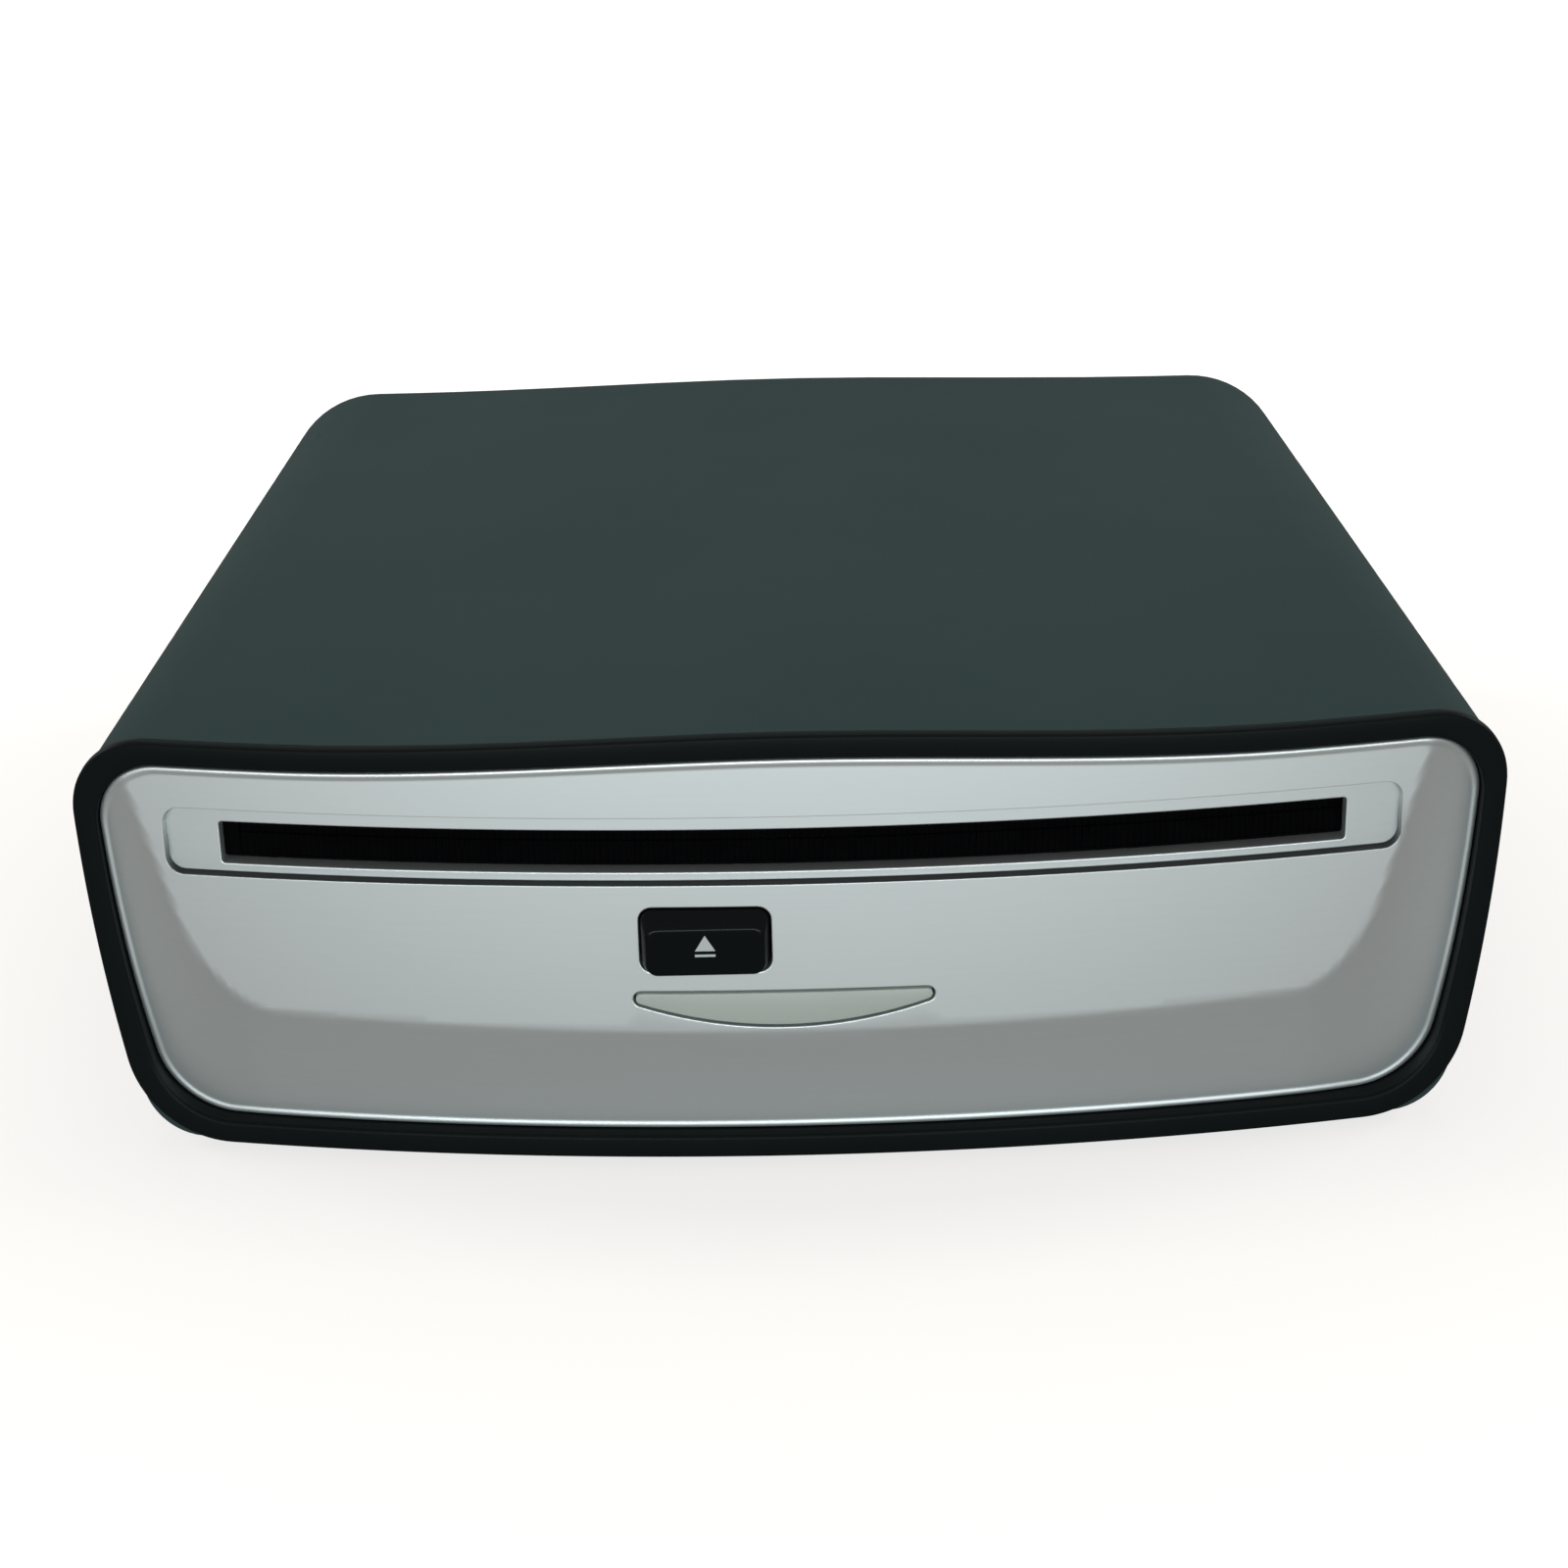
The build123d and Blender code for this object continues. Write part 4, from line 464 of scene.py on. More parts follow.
def ring_band(shape, rings, closed=False):
    """Join rings of equally many points into a band of quads; returns the rings' vertices."""
    rows = [[shape.verts.new(point) for point in ring] for ring in rings]
    pairs = list(zip(rows, rows[1:])) + ([(rows[-1], rows[0])] if closed else [])
    for first, second in pairs:
        for index in range(len(first)):
            after = (index + 1) % len(first)
            shape.faces.new((first[index], first[after], second[after], second[index]))
    return rows


def capped_band(shape, rings):
    """A band whose first and last rings are filled, which makes it a solid."""
    rows = ring_band(shape, rings)
    shape.faces.new(rows[0])
    shape.faces.new(rows[-1])


print("mesh helpers ready")

# %% [markdown]
# ## Black rim
# The rim is one moulding: a flange whose edges are softly rounded, and behind it a tube that
# plugs into the shells and a ledge that carries the panel. The same section runs all the way
# round, so a ring for each corner of the section makes a band that closes on itself.

# %% Rim
# Corners of the section: how far inside the outline, and how far behind the front.
RIM_SECTION = [
    (0.0, 1.2), (0.0, 0.5), (0.06, 0.24), (0.22, 0.07), (0.5, 0.0), (1.4, 0.0), (2.35, 0.0),
    (2.6, 0.06), (2.74, 0.2), (2.8, 0.45), (2.8, 3.85), (4.4, 3.85), (4.4, 5.05), (1.65, 5.05),
    (1.65, 1.2),
]
shape = bmesh.new()
ring_band(shape, [[(x, bow(x, setback), z) for x, z in outline(inset)]
                  for inset, setback in RIM_SECTION], closed=True)
mesh_piece("face_rim", shape, "rim_plastic", "housing", "bezel_frame")

# %% [markdown]
# ## Silver panel
# The panel is the form that one remembers: a bowed plateau, below and beside it a skirt that
# falls back, a bead along the edge, and a shallow pan round the slot. A flat mesh cut with
# booleans would show steps in its shading. Here one function gives the depth at every point,
# and a triangulated sheet with loops along each edge follows it. Pan, slot, button and window
# sit a little to the left of the rim's middle, by SIDEWAYS.

# %% Sizes of the panel
SIDEWAYS = -0.9
EDGE, PLATEAU_SET, PANEL_BACK = 2.9, 0.3, 3.7
PAN_CENTRE, PAN_SIZE, PAN_RADIUS = (SIDEWAYS, BASE + 38.15), (139.9, 8.1), 2.0
PAN_DEPTH, PAN_WALL, PAN_LIP = 1.15, 0.28, 0.05
SLOT_CENTRE, SLOT_SIZE, SLOT_RADIUS = (SIDEWAYS, BASE + 37.8), (127.2, 5.05), 0.4
BUTTON_CENTRE, BUTTON_SIZE, BUTTON_RADIUS = (-9.8, BASE + 27.45), (14.4, 7.5), 1.3
BUTTON_GAP, BUTTON_SPACING, WINDOW_GAP = 0.25, 1.2, 0.3
WINDOW_X, WINDOW_TOP, WINDOW_HALF, WINDOW_SAG = SIDEWAYS - 0.2, BASE + 20.8, 16.8, 4.0
WINDOW_CORNER = 1.0
print("pan", PAN_SIZE, "slot", SLOT_SIZE, "button", BUTTON_SIZE, "window", 2 * WINDOW_HALF)

# %% [markdown]
# ### Skirts
# The lower skirt is a cone-like band with its own radius, the side skirts are planes that lean
# outward, and the plateau is the bow itself. Whichever lies deepest wins, and soft_max() rounds
# the change: sharply at the crease, softly where the two skirts meet at a corner. A skirt falls
# steeply beside the crease and flattens toward the rim, as the moulded one does.

# %% Skirts and their crease
CREASE_HEIGHT = 16.0
CREASE_Z = BASE + CREASE_HEIGHT
SKIRT_FALL, SKIRT_REACH, SIDE_REACH = 1.8, 13.05, 8.0
SKIRT_RADIUS = 334.0
SIDE_LEAN, SIDE_SLOPE = 0.27, 12.3
SIDE_CREASE_X, SIDE_CREASE_HEIGHT = 70.4, 35.5
CREASE_X = SIDE_CREASE_X + SIDE_LEAN * (CREASE_HEIGHT - SIDE_CREASE_HEIGHT)
CREASE_SOFT, CORNER_SOFT = 0.09, 2.7


def soft_max(first, second, width):
    """The greater of two values, with a rounded change from one to the other."""
    near = max(width - abs(first - second), 0.0) / width
    return max(first, second) + near * near * width / 4


def eased(distance, reach):
    """A fall that is 4/3 as steep at the crease and 2/3 at the rim, and equals reach there."""
    return distance * (4 - distance / reach) / 3


def face_depth(x, z):
    """Depth of the plateau and its skirts, before the pan and the bead."""
    plateau = bow(x, PLATEAU_SET)
    centre = FRONT + PLATEAU_SET + SKIRT_RADIUS
    fall = SKIRT_FALL * eased(CREASE_Z - z, SKIRT_REACH) / SKIRT_REACH
    skirt = centre - sqrt((SKIRT_RADIUS - fall) ** 2 - x * x)
    tangent = CREASE_X / BOW_RADIUS
    up_side = SIDE_LEAN * (z - CREASE_Z)
    slope = tan(asin(tangent) + radians(SIDE_SLOPE)) - tangent
    beyond = abs(x - SIDEWAYS) - CREASE_X - up_side
    side = bow(CREASE_X, PLATEAU_SET) + tangent * (up_side + beyond)
    side += slope * eased(beyond, SIDE_REACH)
    return soft_max(plateau, soft_max(skirt, side, CORNER_SOFT), CREASE_SOFT)


print("skirt falls", round(face_depth(0.0, BASE + EDGE) - bow(0.0, PLATEAU_SET), 2), "mm")

# %% [markdown]
# ### Pan
# The pan is a rounded rectangle with a steep wall. One helper tells how far a point lies inside
# such a rectangle, and a smooth step over the wall's width blends the depth from the plateau to
# the pan's floor, which follows the same bow.

# %% Depth of the panel at any point
def smooth_step(value):
    """0 up to 0, 1 from 1 on, and a smooth rise between."""
    value = min(max(value, 0.0), 1.0)
    return value * value * (3 - 2 * value)


def rounded_distance(point, centre, size, radius):
    """How far a point lies inside a rounded rectangle; less than 0 outside it."""
    across = abs(point[0] - centre[0]) - size[0] / 2 + radius
    along = abs(point[1] - centre[1]) - size[1] / 2 + radius
    outside = hypot(max(across, 0.0), max(along, 0.0))
    return radius - outside - min(max(across, along), 0.0)


def panel_depth(x, z):
    """Depth of the panel's front with the pan sunk into it."""
    inside = rounded_distance((x, z), PAN_CENTRE, PAN_SIZE, PAN_RADIUS)
    sunk = smooth_step((inside + PAN_LIP) / PAN_WALL)
    return face_depth(x, z) * (1 - sunk) + bow(x, PLATEAU_SET + PAN_DEPTH) * sunk


print("pan sinks", round(panel_depth(*PAN_CENTRE) - face_depth(*PAN_CENTRE), 2), "mm")

# %% [markdown]
# ### Loops along the openings
# Slot, button and pan are rounded rectangles, and the window is a crescent with a flat top. Each
# is a closed loop of points that can be grown or shrunk, so that one function gives the hole,
# its rounded lip and the piece that fills it.

# %% Rounded rectangles
CORNER_STEPS, LEAST_RADIUS = 6, 0.08
SIGNS = ((1, -1), (1, 1), (-1, 1), (-1, -1))


def rounded_loop(centre, size, radius, inside, spacing=2.4):
    """A rounded rectangle moved inward by inside, as points about spacing apart."""
    radius = max(radius - inside, LEAST_RADIUS)
    half_x, half_z = size[0] / 2 - inside - radius, size[1] / 2 - inside - radius
    points = []
    for quarter, (side, end) in enumerate(SIGNS):
        turn = (quarter - 1) * pi / 2
        x, z = centre[0] + side * half_x, centre[1] + end * half_z
        points.append((x + radius * cos(turn), z + radius * sin(turn)))
        points += arc((x, z, radius), turn, turn + pi / 2, CORNER_STEPS)
        next_side, next_end = SIGNS[(quarter + 1) % 4]
        run_x, run_z = (next_side - side) * half_x, (next_end - end) * half_z
        count = max(int((abs(run_x) + abs(run_z)) / spacing), 1)
        x, z = points[-1]
        points += [(x + run_x * step / count, z + run_z * step / count)
                   for step in range(1, count)]
    return points


print("slot loop points", len(rounded_loop(SLOT_CENTRE, SLOT_SIZE, SLOT_RADIUS, 0.0)))

# %% [markdown]
# The crescent's lower edge is one large arc, and a small arc at each end joins it to the flat
# top. Its radius follows from the width and the sag, so the crescent keeps its form as it grows.

# %% Crescent of the window
WINDOW_END, END_SHARE = 0.7, 0.95
WINDOW_TOP_STEPS, WINDOW_END_STEPS, WINDOW_ARC_STEPS = 24, 10, 26


def crescent_loop(grow):
    """The window's outline, grown by grow: flat top, round ends, an arc below."""
    half, top, end = WINDOW_HALF + grow, WINDOW_TOP + grow, (WINDOW_END + grow) * END_SHARE
    deep = WINDOW_SAG + 2 * grow - end
    radius = ((half - end) ** 2 + deep ** 2 - end ** 2) / (2 * (deep - end))
    lift = top - WINDOW_SAG - 2 * grow + radius
    turn = atan2(top - end - lift, half - end)
    points = [((half - end) * (1 - 2 * step / WINDOW_TOP_STEPS), top)
              for step in reversed(range(WINDOW_TOP_STEPS))]
    points += arc((half - end, top - end, end), pi / 2, turn, WINDOW_END_STEPS)
    points += arc((0.0, lift, radius), turn, -pi - turn, WINDOW_ARC_STEPS)
    points += arc((end - half, top - end, end), -pi - turn, -3 * pi / 2, WINDOW_END_STEPS)
    return [(x + WINDOW_X, z) for x, z in reversed(points)]


print("window loop points", len(crescent_loop(0.0)))

# %% [markdown]
# ### Holes in the sheet
# Each hole has a lip of four loops: the outermost lies on the panel's surface, and the others
# close in and sink a little, so that the edge catches the light.

# %% Holes and their lips
# Loops of a lip: how far outside the hole, and how far below the surface.
LIP = [(0.16, 0.0), (0.07, 0.03), (0.02, 0.08), (0.0, 0.15)]
button_hole = (BUTTON_SIZE[0] + 2 * BUTTON_GAP, BUTTON_SIZE[1] + 2 * BUTTON_GAP)


def slot_loop(grow):
    return rounded_loop(SLOT_CENTRE, SLOT_SIZE, SLOT_RADIUS, -grow)


def button_loop(grow):
    radius = BUTTON_RADIUS + BUTTON_GAP
    return rounded_loop(BUTTON_CENTRE, button_hole, radius, -grow, BUTTON_SPACING)


def window_loop(grow):
    return crescent_loop(WINDOW_GAP + grow)


HOLES = (slot_loop, button_loop, window_loop)
HOLE_LOOPS = tuple(1 + number * len(LIP) for number in range(len(HOLES)))
print("the holes' own loops", HOLE_LOOPS)

# %% [markdown]
# ### Points of the sheet
# Between the loops the sheet needs points close enough to follow the skirts. A staggered grid
# fills it, and leaves room round every loop. Along the crease, where the depth turns sharply,
# four rows that follow it take the grid's place.

# %% Where the grid may stand
SHEET_INSET, EDGE_CLEAR, HOLE_CLEAR = 3.98, 0.4, 0.7
PAN_CLEAR_OUTSIDE, PAN_CLEAR_INSIDE = 0.5, 0.9


def sheet_width(z):
    """Half the width of the sheet at height z."""
    side, low, top = side_circles(SHEET_INSET)
    circle = side
    if z < low[1] + low[2] * (low[1] - side[1]) / (side[2] - low[2]):
        circle = low
    elif z > top[1] + top[2] * (top[1] - side[1]) / (side[2] - top[2]):
        circle = top
    return circle[0] + sqrt(max(circle[2] ** 2 - (z - circle[1]) ** 2, 0.0))


def is_free(x, z):
    """Whether a grid point keeps clear of the loops and stays on the sheet."""
    pan = rounded_distance((x, z), PAN_CENTRE, PAN_SIZE, PAN_RADIUS)
    slot = rounded_distance((x, z), SLOT_CENTRE, SLOT_SIZE, SLOT_RADIUS)
    button = rounded_distance((x, z), BUTTON_CENTRE, button_hole, BUTTON_RADIUS)
    window = rounded_distance((x, z), (WINDOW_X, WINDOW_TOP - WINDOW_SAG / 2),
                              (2 * WINDOW_HALF, WINDOW_SAG), WINDOW_CORNER)
    top = BASE + SHOULDER - SHEET_INSET + crown_height(x)
    return (not -PAN_CLEAR_OUTSIDE < pan < PAN_CLEAR_INSIDE
            and max(slot, button, window) < -HOLE_CLEAR
            and abs(x) < sheet_width(z) - EDGE_CLEAR and z < top - EDGE_CLEAR)


print("sheet's half width at the crease", round(sheet_width(CREASE_Z), 2))

# %% Points, loops and rows
PAN_ROWS = (-0.16, -0.06, 0.0, 0.04, 0.08, 0.12, 0.16, 0.2, 0.24, 0.34)
CREASE_ROWS, CREASE_CLEAR, CREASE_RUN = (-0.3, -0.12, 0.08, 0.24), 0.45, 52.0
GRID, GRID_ROWS, GRID_COLUMNS = 0.8, 58, 98


def crease_height(x):
    """Height at which the lower skirt meets the plateau at x; eased() is 4/3 as steep there."""
    depth = (PLATEAU_SET + SKIRT_RADIUS - BOW_RADIUS
             + sqrt((BOW_RADIUS - PLATEAU_SET) ** 2 - x * x))
    fall = SKIRT_RADIUS - hypot(depth, x)
    return CREASE_Z - 3 / 4 * fall * SKIRT_REACH / SKIRT_FALL


def sheet_points():
    """Points, loops and extra depths of the panel's sheet."""
    points, drops, loops = [], [], []

    def add_loop(loop, drop):
        loops.append(list(range(len(points), len(points) + len(loop))))
        points.extend(loop)
        drops.extend([drop] * len(loop))

    add_loop(outline(SHEET_INSET), 0.0)
    for hole in HOLES:
        for grow, drop in reversed(LIP):
            add_loop(hole(grow), drop)
    for inside in PAN_ROWS:
        add_loop(rounded_loop(PAN_CENTRE, PAN_SIZE, PAN_RADIUS, inside), 0.0)
    for row in range(GRID_ROWS):
        z = BASE + SHEET_INSET + EDGE_CLEAR + GRID * row
        for column in range(-GRID_COLUMNS, GRID_COLUMNS + 1):
            x = GRID * (column + 0.5 * (row % 2))
            near_crease = abs(z - crease_height(x)) < CREASE_CLEAR and abs(x) < CREASE_RUN
            if z < BASE + SHOULDER and is_free(x, z) and not near_crease:
                points.append((x, z))
    for number in range(int(-CREASE_RUN / GRID), int(CREASE_RUN / GRID) + 1):
        for beside in CREASE_ROWS:
            points.append((number * GRID, crease_height(number * GRID) + beside))
    drops.extend([0.0] * (len(points) - len(drops)))
    return points, drops, loops


points, drops, loops = sheet_points()
print("sheet points", len(points), "loops", len(loops))

# %% [markdown]
# ### From points to faces
# The triangulation is told which loops bound the sheet and which are holes, so no boolean is
# needed. It can hand the points back in another order, and says which old one each came from.

# %% Triangles over a flat outline
MERGE = 1e-5


def filled(points, loops, holes):
    """Triangles over points, inside loops[0] and outside the loops whose numbers are holes."""
    edges = [(loop[index - 1], loop[index]) for loop in loops for index in range(len(loop))]
    faces = [loops[0]] + [loops[number] for number in holes]
    _, _, triangles, sources, _, homes = delaunay_2d_cdt(
        [Vector(point) for point in points], edges, faces, 0, MERGE)
    return [[sources[corner][0] for corner in triangle]
            for triangle, home in zip(triangles, homes) if list(home) == [0]]


def fill(shape, corners, outlines):
    """Fill the first outline and leave the others as holes; corners are their vertices."""
    flat, numbers = [], []
    for loop in outlines:
        numbers.append(list(range(len(flat), len(flat) + len(loop))))
        flat.extend(loop)
    for triangle in filled(flat, numbers, range(1, len(outlines))):
        shape.faces.new([corners[corner] for corner in triangle])
    return numbers


print("triangles in the sheet", len(filled(points, loops, HOLE_LOOPS)))

# %% [markdown]
# ### The panel's mesh
# Three kinds of faces make the panel: a ring of quads for the bead along its edge, the
# triangulated sheet inside it, and plain walls and a back that close it into a solid.

# %% Panel
# Rings of the bead: how far inward of the outline, and how far proud of the skirt.
BEAD = [(EDGE, -0.1), (2.95, 0.03), (3.03, 0.09), (3.15, 0.125), (3.3, 0.125), (3.45, 0.095),
        (3.6, 0.045), (3.74, 0.01), (3.86, 0.0)]


def back_of_panel(shape, front_loops):
    """The plain back with its holes; returns each front loop paired with its back loop."""
    outlines = [outline(EDGE)] + [hole(0) for hole in HOLES]
    corners = [shape.verts.new((x, bow(x, PANEL_BACK), z)) for loop in outlines for x, z in loop]
    return [(first, [corners[number] for number in loop])
            for first, loop in zip(front_loops, fill(shape, corners, outlines))]


def build_panel():
    shape = bmesh.new()
    front = [shape.verts.new((x, panel_depth(x, z) + drop, z))
             for (x, z), drop in zip(points, drops)]
    for triangle in filled(points, loops, HOLE_LOOPS):
        shape.faces.new([front[corner] for corner in triangle])
    rows = ring_band(shape, [[(x, face_depth(x, z) - rise, z) for x, z in outline(inset)]
                             for inset, rise in BEAD])
    edge, *holes = [[front[number] for number in loops[loop]] for loop in (0, *HOLE_LOOPS)]
    walls = back_of_panel(shape, [rows[0]] + holes)
    for first, second in walls + [(rows[-1], edge)]:
        for index in range(len(first)):
            shape.faces.new((first[index - 1], first[index], second[index], second[index - 1]))
    shape.verts.index_update()
    return mesh_piece("face_shell", shape, "face_silver", "housing", "face_panel", smooth=50.0)


panel = build_panel()

# %% [markdown]
# ### The panel's shading
# Blender works normals out from the triangles, and their uneven sizes would show as ripples in
# the reflections. The depth function knows the true direction at each point, so it is written
# over them, except on the lips. The painted shade that darkens the recess's lower wall is stored
# on the points as well, for the silver finish to read.

# %% Normals and shade of the panel
HALF_STEP = 0.02
SHADE_EDGE, SHADE_PAST, SHADE_SOFT = 0.07, 0.04, 0.1
SHADE_BELOW, SHADE_RUN = 0.5, 2.5


def panel_normal(x, z):
    """Direction that the panel's front faces at a point."""
    fall_x = panel_depth(x + HALF_STEP, z) - panel_depth(x - HALF_STEP, z)
    fall_z = panel_depth(x, z + HALF_STEP) - panel_depth(x, z - HALF_STEP)
    return Vector((fall_x, -2 * HALF_STEP, fall_z)).normalized()


def painted_recess_shade(x, z):
    """How strongly painted shade darkens the recess's lower wall at a point."""
    inside = rounded_distance((x, z), PAN_CENTRE, PAN_SIZE, PAN_RADIUS)
    on_wall = smooth_step((inside + SHADE_EDGE) / SHADE_SOFT)
    on_wall *= smooth_step((PAN_WALL + SHADE_PAST - inside) / SHADE_SOFT)
    return on_wall * smooth_step((PAN_CENTRE[1] - SHADE_BELOW - z) / SHADE_RUN)


def shade_panel(mesh):
    normals = [(0.0, 0.0, 0.0)] * len(mesh.loops)
    smooth = {number for number in range(len(points)) if drops[number] == 0.0} - set(loops[0])
    for polygon in mesh.polygons:
        if all(number < len(points) for number in polygon.vertices):
            for corner, number in zip(polygon.loop_indices, polygon.vertices):
                if number in smooth:
                    normals[corner] = panel_normal(*points[number])
    mesh.normals_split_custom_set(normals)
    # Painted shade of the pan's lower wall, stored on the points for the silver finish.
    shade = mesh.attributes.new("painted_recess_shade", "FLOAT", "POINT")
    for number, point in enumerate(points):
        shade.data[number].value = painted_recess_shade(*point)
    return len(smooth)


print("points with true normals", shade_panel(panel.data))

# %% [markdown]
# ## Eject button
# The button is a glossy black cap with a steep bevel above and slight ones elsewhere. A cube
# with bevels would round all its edges alike. Rings of rounded rectangles, each a little
# smaller, give its flange, its sides and its soft edges each their own shape.

# %% Eject button
BUTTON_FACE = bow(abs(BUTTON_CENTRE[0]), PLATEAU_SET)
BUTTON_PROUD, ONE_RUN, RADIUS_SHARE = 1.7, 30.0, 0.6
BEVEL_TOP, BEVEL_SIDE, BEVEL_LOW = 1.6, 0.6, 0.15
FLANGE_BEHIND, SIDE_BEHIND = 0.3, 0.05
# Rings of the flange: how far inward of the cap's side, and how far behind the flange's front.
FLANGE_RINGS = [(-0.9, 0.95), (-1.15, 0.8), (-1.2, 0.0), (0.0, 0.0)]
# Rings of the cap: share of the bevels, how far inward, share of the height over the plateau.
CAP_RINGS = [(0.1, 0.0, 0.1), (0.4, 0.0, 0.4), (0.75, 0.0, 0.75), (0.9, 0.03, 0.9),
             (0.97, 0.1, 0.965), (1.0, 0.24, 0.99), (1.0, 0.5, 1.0)]


def button_ring(part, inside, depth):
    """A ring of the cap: part of the way up its bevels, then moved inward by inside."""
    centre = (BUTTON_CENTRE[0], BUTTON_CENTRE[1] - part * (BEVEL_TOP - BEVEL_LOW) / 2)
    size = (BUTTON_SIZE[0] - 2 * part * BEVEL_SIDE,
            BUTTON_SIZE[1] - part * (BEVEL_TOP + BEVEL_LOW))
    radius = BUTTON_RADIUS + inside * RADIUS_SHARE
    return [(x, depth, z) for x, z in rounded_loop(centre, size, radius, inside, ONE_RUN)]


shape = bmesh.new()
flange = bow(abs(BUTTON_CENTRE[0]) + BUTTON_SIZE[0] / 2, PANEL_BACK) + FLANGE_BEHIND
rings = [button_ring(0.0, inside, flange + behind) for inside, behind in FLANGE_RINGS]
rings += [button_ring(0.0, 0.0, BUTTON_FACE + SIDE_BEHIND)]
rings += [button_ring(part, inside, BUTTON_FACE - BUTTON_PROUD * share)
          for part, inside, share in CAP_RINGS]
capped_band(shape, rings)
mesh_piece("eject_cap", shape, "button_plastic", "eject_key", "eject_button", smooth=40.0)

# %% [markdown]
# ### Eject mark
# The mark that every drive has, a triangle over a bar, is printed on the cap. A picture of it
# would need image coordinates. Two thin plates, proud of the cap by two hundredths of a
# millimetre, need none and ride with the button.

# %% Eject mark, printed on the cap
MARK_HALF, ARROW_HEIGHT, MARK_BELOW = 1.15, 1.9, 0.55
BAR_LOW, BAR_HIGH = 0.7, 0.4
INK_PROUD, INK_SUNK = 0.02, 0.1
shape = bmesh.new()
front = BUTTON_FACE - BUTTON_PROUD - INK_PROUD
x, z = BUTTON_CENTRE[0], BUTTON_CENTRE[1] - MARK_BELOW
left, right = x - MARK_HALF, x + MARK_HALF
arrow = [(left, z), (right, z), (x, z + ARROW_HEIGHT)]
bar = [(left, z - BAR_LOW), (right, z - BAR_LOW), (right, z - BAR_HIGH), (left, z - BAR_HIGH)]
for corners in (arrow, bar):
    capped_band(shape, [[(x, depth, z) for x, z in corners]
                        for depth in (front + INK_SUNK, front)])
mesh_piece("eject_mark", shape, "icon_ink", "eject_key", "eject_icon")

# %% [markdown]
# ## Status window
# A crescent of milky plastic sits in the panel, a twentieth of a millimetre below the plateau,
# with a dark hairline round it. Its edge is rounded over by about a tenth of a millimetre, to
# catch a thin line of light. Grown and shrunk crescents are joined into a band.

# %% Status window
# Rings of the lens: how much larger than the window, and how far behind the plateau.
LENS_RINGS = [(0.0, PANEL_BACK - PLATEAU_SET), (0.0, 0.16), (-0.04, 0.09), (-0.12, 0.05)]
shape = bmesh.new()
rows = ring_band(shape, [[(x, bow(x, PLATEAU_SET + behind), z) for x, z in crescent_loop(grow)]
                         for grow, behind in LENS_RINGS])
for end in (0, -1):
    fill(shape, rows[end], [crescent_loop(LENS_RINGS[end][0])])
mesh_piece("status_lens", shape, "window_plastic", "housing", "status_window", smooth=50.0)

# %% [markdown]
# ## Slot brushes
# Two rows of black fibres reach into the slot from above and below. They keep dust out, and they
# are why one sees only black in the slot. Hair particles could make them, but a comb of thin
# blades of uneven length is lighter, and is a plain mesh.

# %% Slot brushes
BLADE_STEP, BLADE_FIRST, BLADE_LAST = 0.25, -260, 252
BLADE_FOOT, BLADE_TIP, BLADE_THICKNESS = 0.15, 0.13, 0.1
BLADE_LEAN, SHORTEST_BLADE = 0.08, 0.97
BLADE_ROWS, ROW_STEP = 3, 0.12
BLADE_REACH, LOWER_BEHIND, UPPER_BEHIND = 2.9, 0.1, 0.5
SEED = 7


def build_brush(name, edge, reach, behind):
    """A comb of blades from the height edge past the slot's middle, set behind the panel."""
    shape = bmesh.new()
    wobble = Random(SEED)
    for number in range(BLADE_FIRST, BLADE_LAST + 1):
        x = number * BLADE_STEP
        lean = wobble.uniform(-BLADE_LEAN, BLADE_LEAN)
        tip = edge + reach * wobble.uniform(SHORTEST_BLADE, 1.0)
        depth = bow(x, PANEL_BACK + behind + ROW_STEP * (number % BLADE_ROWS))
        corners = [(x - BLADE_FOOT, edge), (x + BLADE_FOOT, edge),
                   (x + lean + BLADE_TIP, tip), (x + lean - BLADE_TIP, tip)]
        capped_band(shape, [[(px, depth + back, pz) for px, pz in corners]
                            for back in (0.0, BLADE_THICKNESS)])
    mesh_piece(name, shape, "felt", "housing")


slot_low, slot_high = SLOT_CENTRE[1] - SLOT_SIZE[1] / 2, SLOT_CENTRE[1] + SLOT_SIZE[1] / 2
build_brush("slot_brush_lower", slot_low, BLADE_REACH, LOWER_BEHIND)
build_brush("slot_brush_upper", slot_high, -BLADE_REACH, UPPER_BEHIND)

# %% [markdown]
# ## Case screws
# Four screws hold the base to the cover from below. Their heads have rounded edges and a cross
# for the screwdriver. A boolean could cut the cross, but leaves long thin faces. Here the flat
# of the head is triangulated with the cross as a hole, and tapering walls go down.

# %% Case screws
HEAD_RADIUS, HEAD_HEIGHT, SHANK_RADIUS, SHANK_CHAMFER, REAR_STEP = 2.4, 1.4, 1.25, 0.5, 0.9
CROSS_REACH, CROSS_HALF, CROSS_DEPTH, CROSS_TAPER = 1.35, 0.3, 0.85, 0.7
CIRCLE_STEPS = 24
# Rounding of the head: how far inside its radius, and how far above its face.
HEAD_ROUNDING = [(0.0, 0.5), (0.1, 0.24), (0.32, 0.08), (0.7, 0.0)]


def cross_loop(share):
    """The cross of the screwdriver at a share of its full size."""
    reach, half = CROSS_REACH * share, CROSS_HALF * share
    quarter = [(half, -reach), (half, -half), (reach, -half)]
    return [(x * cos(turn) - z * sin(turn), x * sin(turn) + z * cos(turn))
            for turn in (0, pi / 2, pi, 3 * pi / 2) for x, z in quarter]


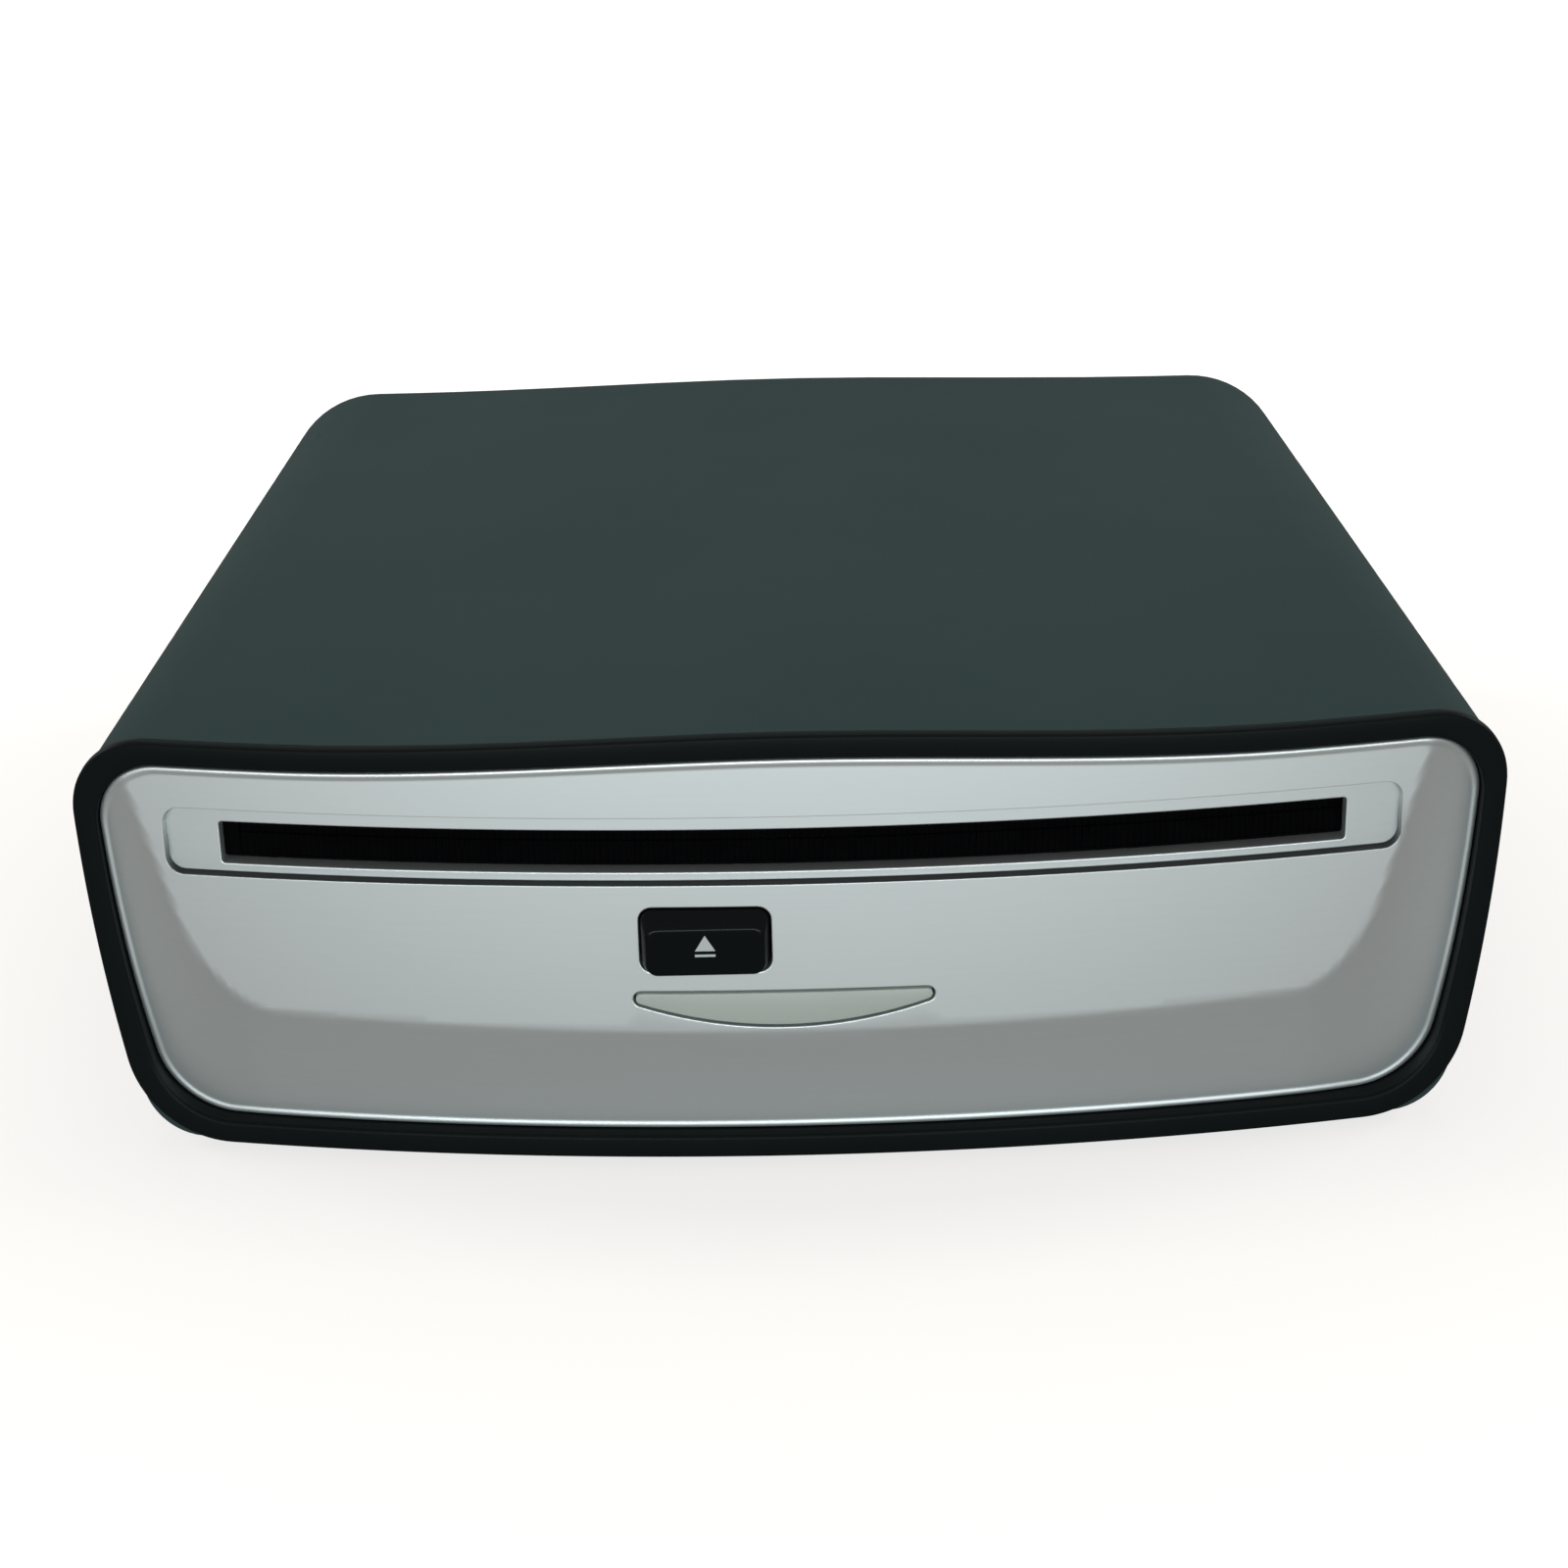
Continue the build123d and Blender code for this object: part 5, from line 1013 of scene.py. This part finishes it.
def add_screw(shape, x, y, low, high):
    """One screw with its head at the height low and its tip at high."""
    profile = [(SHANK_RADIUS - SHANK_CHAMFER, high), (SHANK_RADIUS, high - SHANK_CHAMFER),
               (SHANK_RADIUS, low + HEAD_HEIGHT), (HEAD_RADIUS, low + HEAD_HEIGHT)]
    profile += [(HEAD_RADIUS - inside, low + above) for inside, above in HEAD_ROUNDING]
    circles = [arc((0.0, 0.0, radius), 0.0, 2 * pi, CIRCLE_STEPS) for radius, _ in profile]
    rows = ring_band(shape, [[(x + px, y + py, z) for px, py in circle]
                             for circle, (_, z) in zip(circles, profile)])
    shape.faces.new(rows[0])
    walls = ring_band(shape, [[(x + px, y + py, low + depth) for px, py in cross_loop(share)]
                              for share, depth in ((1.0, 0.0), (CROSS_TAPER, CROSS_DEPTH))])
    shape.faces.new(walls[1])
    fill(shape, rows[-1] + walls[0], [circles[-1], cross_loop(1.0)])


shape = bmesh.new()
low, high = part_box("case_screws")
front_x = high[0] / MM - HEAD_RADIUS
places = [(front_x, low[1] / MM + HEAD_RADIUS), (front_x - REAR_STEP, high[1] / MM - HEAD_RADIUS)]
for x, y in places:
    for side in (-1, 1):
        add_screw(shape, side * x, y, low[2] / MM, high[2] / MM)
mesh_piece("base_screws", shape, "screw_steel", "housing", "case_screws")

# %% [markdown]
# ## Camera
# The photograph looks down on the drive by about 22 degrees, almost straight from the front,
# with the camera leaning a little. Three angles are easier to read than a matrix, so its axes
# are worked out from them.

# %% Camera
CAMERA_PLACE = (1.11 * MM, -393.3 * MM, 171.9 * MM)
YAW, PITCH, ROLL = radians(0.3), radians(21.65), radians(-1.4)
FOCAL_PIXELS, IMAGE_PIXELS, SENSOR_WIDTH = 3139.9, 1600, 36.0
ahead = Vector((-sin(YAW) * cos(PITCH), cos(YAW) * cos(PITCH), -sin(PITCH)))
level_right = Vector((cos(YAW), sin(YAW), 0.0))
level_up = level_right.cross(ahead)
right = level_right * cos(ROLL) + level_up * sin(ROLL)
up = level_up * cos(ROLL) - level_right * sin(ROLL)
camera_data = bpy.data.cameras.new("camera")
camera = add_object("camera", camera_data)
camera_data.sensor_width = SENSOR_WIDTH
camera_data.lens = SENSOR_WIDTH * FOCAL_PIXELS / IMAGE_PIXELS
camera_data.clip_start = 10 * MM
turn = Matrix((right, up, -ahead)).transposed().to_4x4()
camera.matrix_world = Matrix.Translation(CAMERA_PLACE) @ turn
bpy.context.scene.camera = camera
print("lens", round(camera_data.lens, 2), "mm")

# %% [markdown]
# ## Floor and world
# A pale floor carries the drive's soft shadow. Lamps strong enough to show paper as white would
# wash the object out, so the floor glows for the rays that the camera sees, a little less near
# the object. The world is white to the camera, grey in reflections, and a weak warm fill else.

# %% Floor
FLOOR_HALF = 4.0
FLOOR_COLOUR, FLOOR_MIRRORED = (0.22, 0.19, 0.165, 1.0), 0.08
WHITE = (1.0, 1.0, 1.0, 1.0)
FLOOR_GLOW = dict(From_Min=0.09, From_Max=0.26, To_Min=0.76, To_Max=1.0)


def background_rays(tree, seen, mirrored):
    """A strength of seen for camera rays, and of mirrored for reflections and through glass."""
    rays = tree.nodes.new("ShaderNodeLightPath").outputs
    glossy = math_node(tree, "MAXIMUM", rays["Is Glossy Ray"], rays["Is Transmission Ray"])
    return math_node(tree, "MAXIMUM", math_node(tree, "MULTIPLY", rays["Is Camera Ray"], seen),
                     math_node(tree, "MULTIPLY", glossy, mirrored))


tree, shader, place_of = new_finish("floor_paper", Base_Color=FLOOR_COLOUR, Roughness=0.9,
                                    Specular_IOR_Level=0.0, Emission_Color=WHITE)
distance = tree.nodes.new("ShaderNodeVectorMath")
distance.operation = "LENGTH"
tree.links.new(place_of, distance.inputs[0])
glow = tree.nodes.new("ShaderNodeMapRange")
feed(tree, glow, Value=distance.outputs["Value"], **FLOOR_GLOW)
strength = background_rays(tree, glow.outputs["Result"], FLOOR_MIRRORED)
feed(tree, shader, Emission_Strength=strength)
shape = bmesh.new()
bmesh.ops.create_grid(shape, x_segments=2, y_segments=2, size=FLOOR_HALF)
floor = mesh_object("floor", shape, "floor_paper")
print("floor", 2 * FLOOR_HALF, "m wide")

# %% World
WORLD_SEEN, WORLD_MIRRORED, WORLD_FILL = 1.0, 0.6, 0.3
WARM_FILL = (1.0, 0.9, 0.82, 1.0)
world = bpy.data.worlds.new("studio")
world.use_nodes = True
bpy.context.scene.world = world
tree = world.node_tree
white = background_rays(tree, WORLD_SEEN, WORLD_MIRRORED)
feed(tree, tree.nodes["Background"], Strength=math_node(tree, "MAXIMUM", white, WORLD_FILL),
     Color=mix_colour(tree, white, WARM_FILL, WHITE))
print("world nodes", len(tree.nodes))

# %% [markdown]
# ## Lamps
# A soft lamp overhead lights the cover, one at each side shapes its edges, and a low wide one in
# front is mirrored by the upright plateau more than by the skirts, which lean away from it. That
# is what makes the crease show. Their light is a little cool, as in the photograph.

# %% Lamps
COOL, COOLER = (0.93, 1.0, 1.0), (0.89, 0.98, 1.0)


def lamp(name, place_at, aim, size, power, colour):
    """A soft rectangular lamp at place_at that faces aim."""
    data = bpy.data.lights.new(name, "AREA")
    data.shape = "RECTANGLE"
    data.size, data.size_y = size
    data.energy = power
    data.color = colour
    obj = add_object(name, data)
    obj.location = place_at
    facing = (Vector(aim) - Vector(place_at)).to_track_quat("-Z", "Y")
    obj.rotation_euler = facing.to_euler()


lamp("overhead", place_at=(0.0, 0.12, 0.65), aim=(0.0, -0.05, 0.0), size=(0.6, 0.2),
     power=1.75, colour=COOL)
for name, side in (("left", -1), ("right", 1)):
    lamp(name, place_at=(side * 0.75, 0.22, 0.42), aim=(0.0, -0.02, 0.02), size=(0.25, 0.25),
         power=2.5, colour=COOL)
lamp("front", place_at=(0.0, -0.95, 0.1), aim=(0.0, -0.08, 0.03), size=(1.3, 0.12),
     power=8.6, colour=COOLER)
bpy.context.scene.view_settings.view_transform = "Standard"
print("lamps", len(bpy.data.lights))
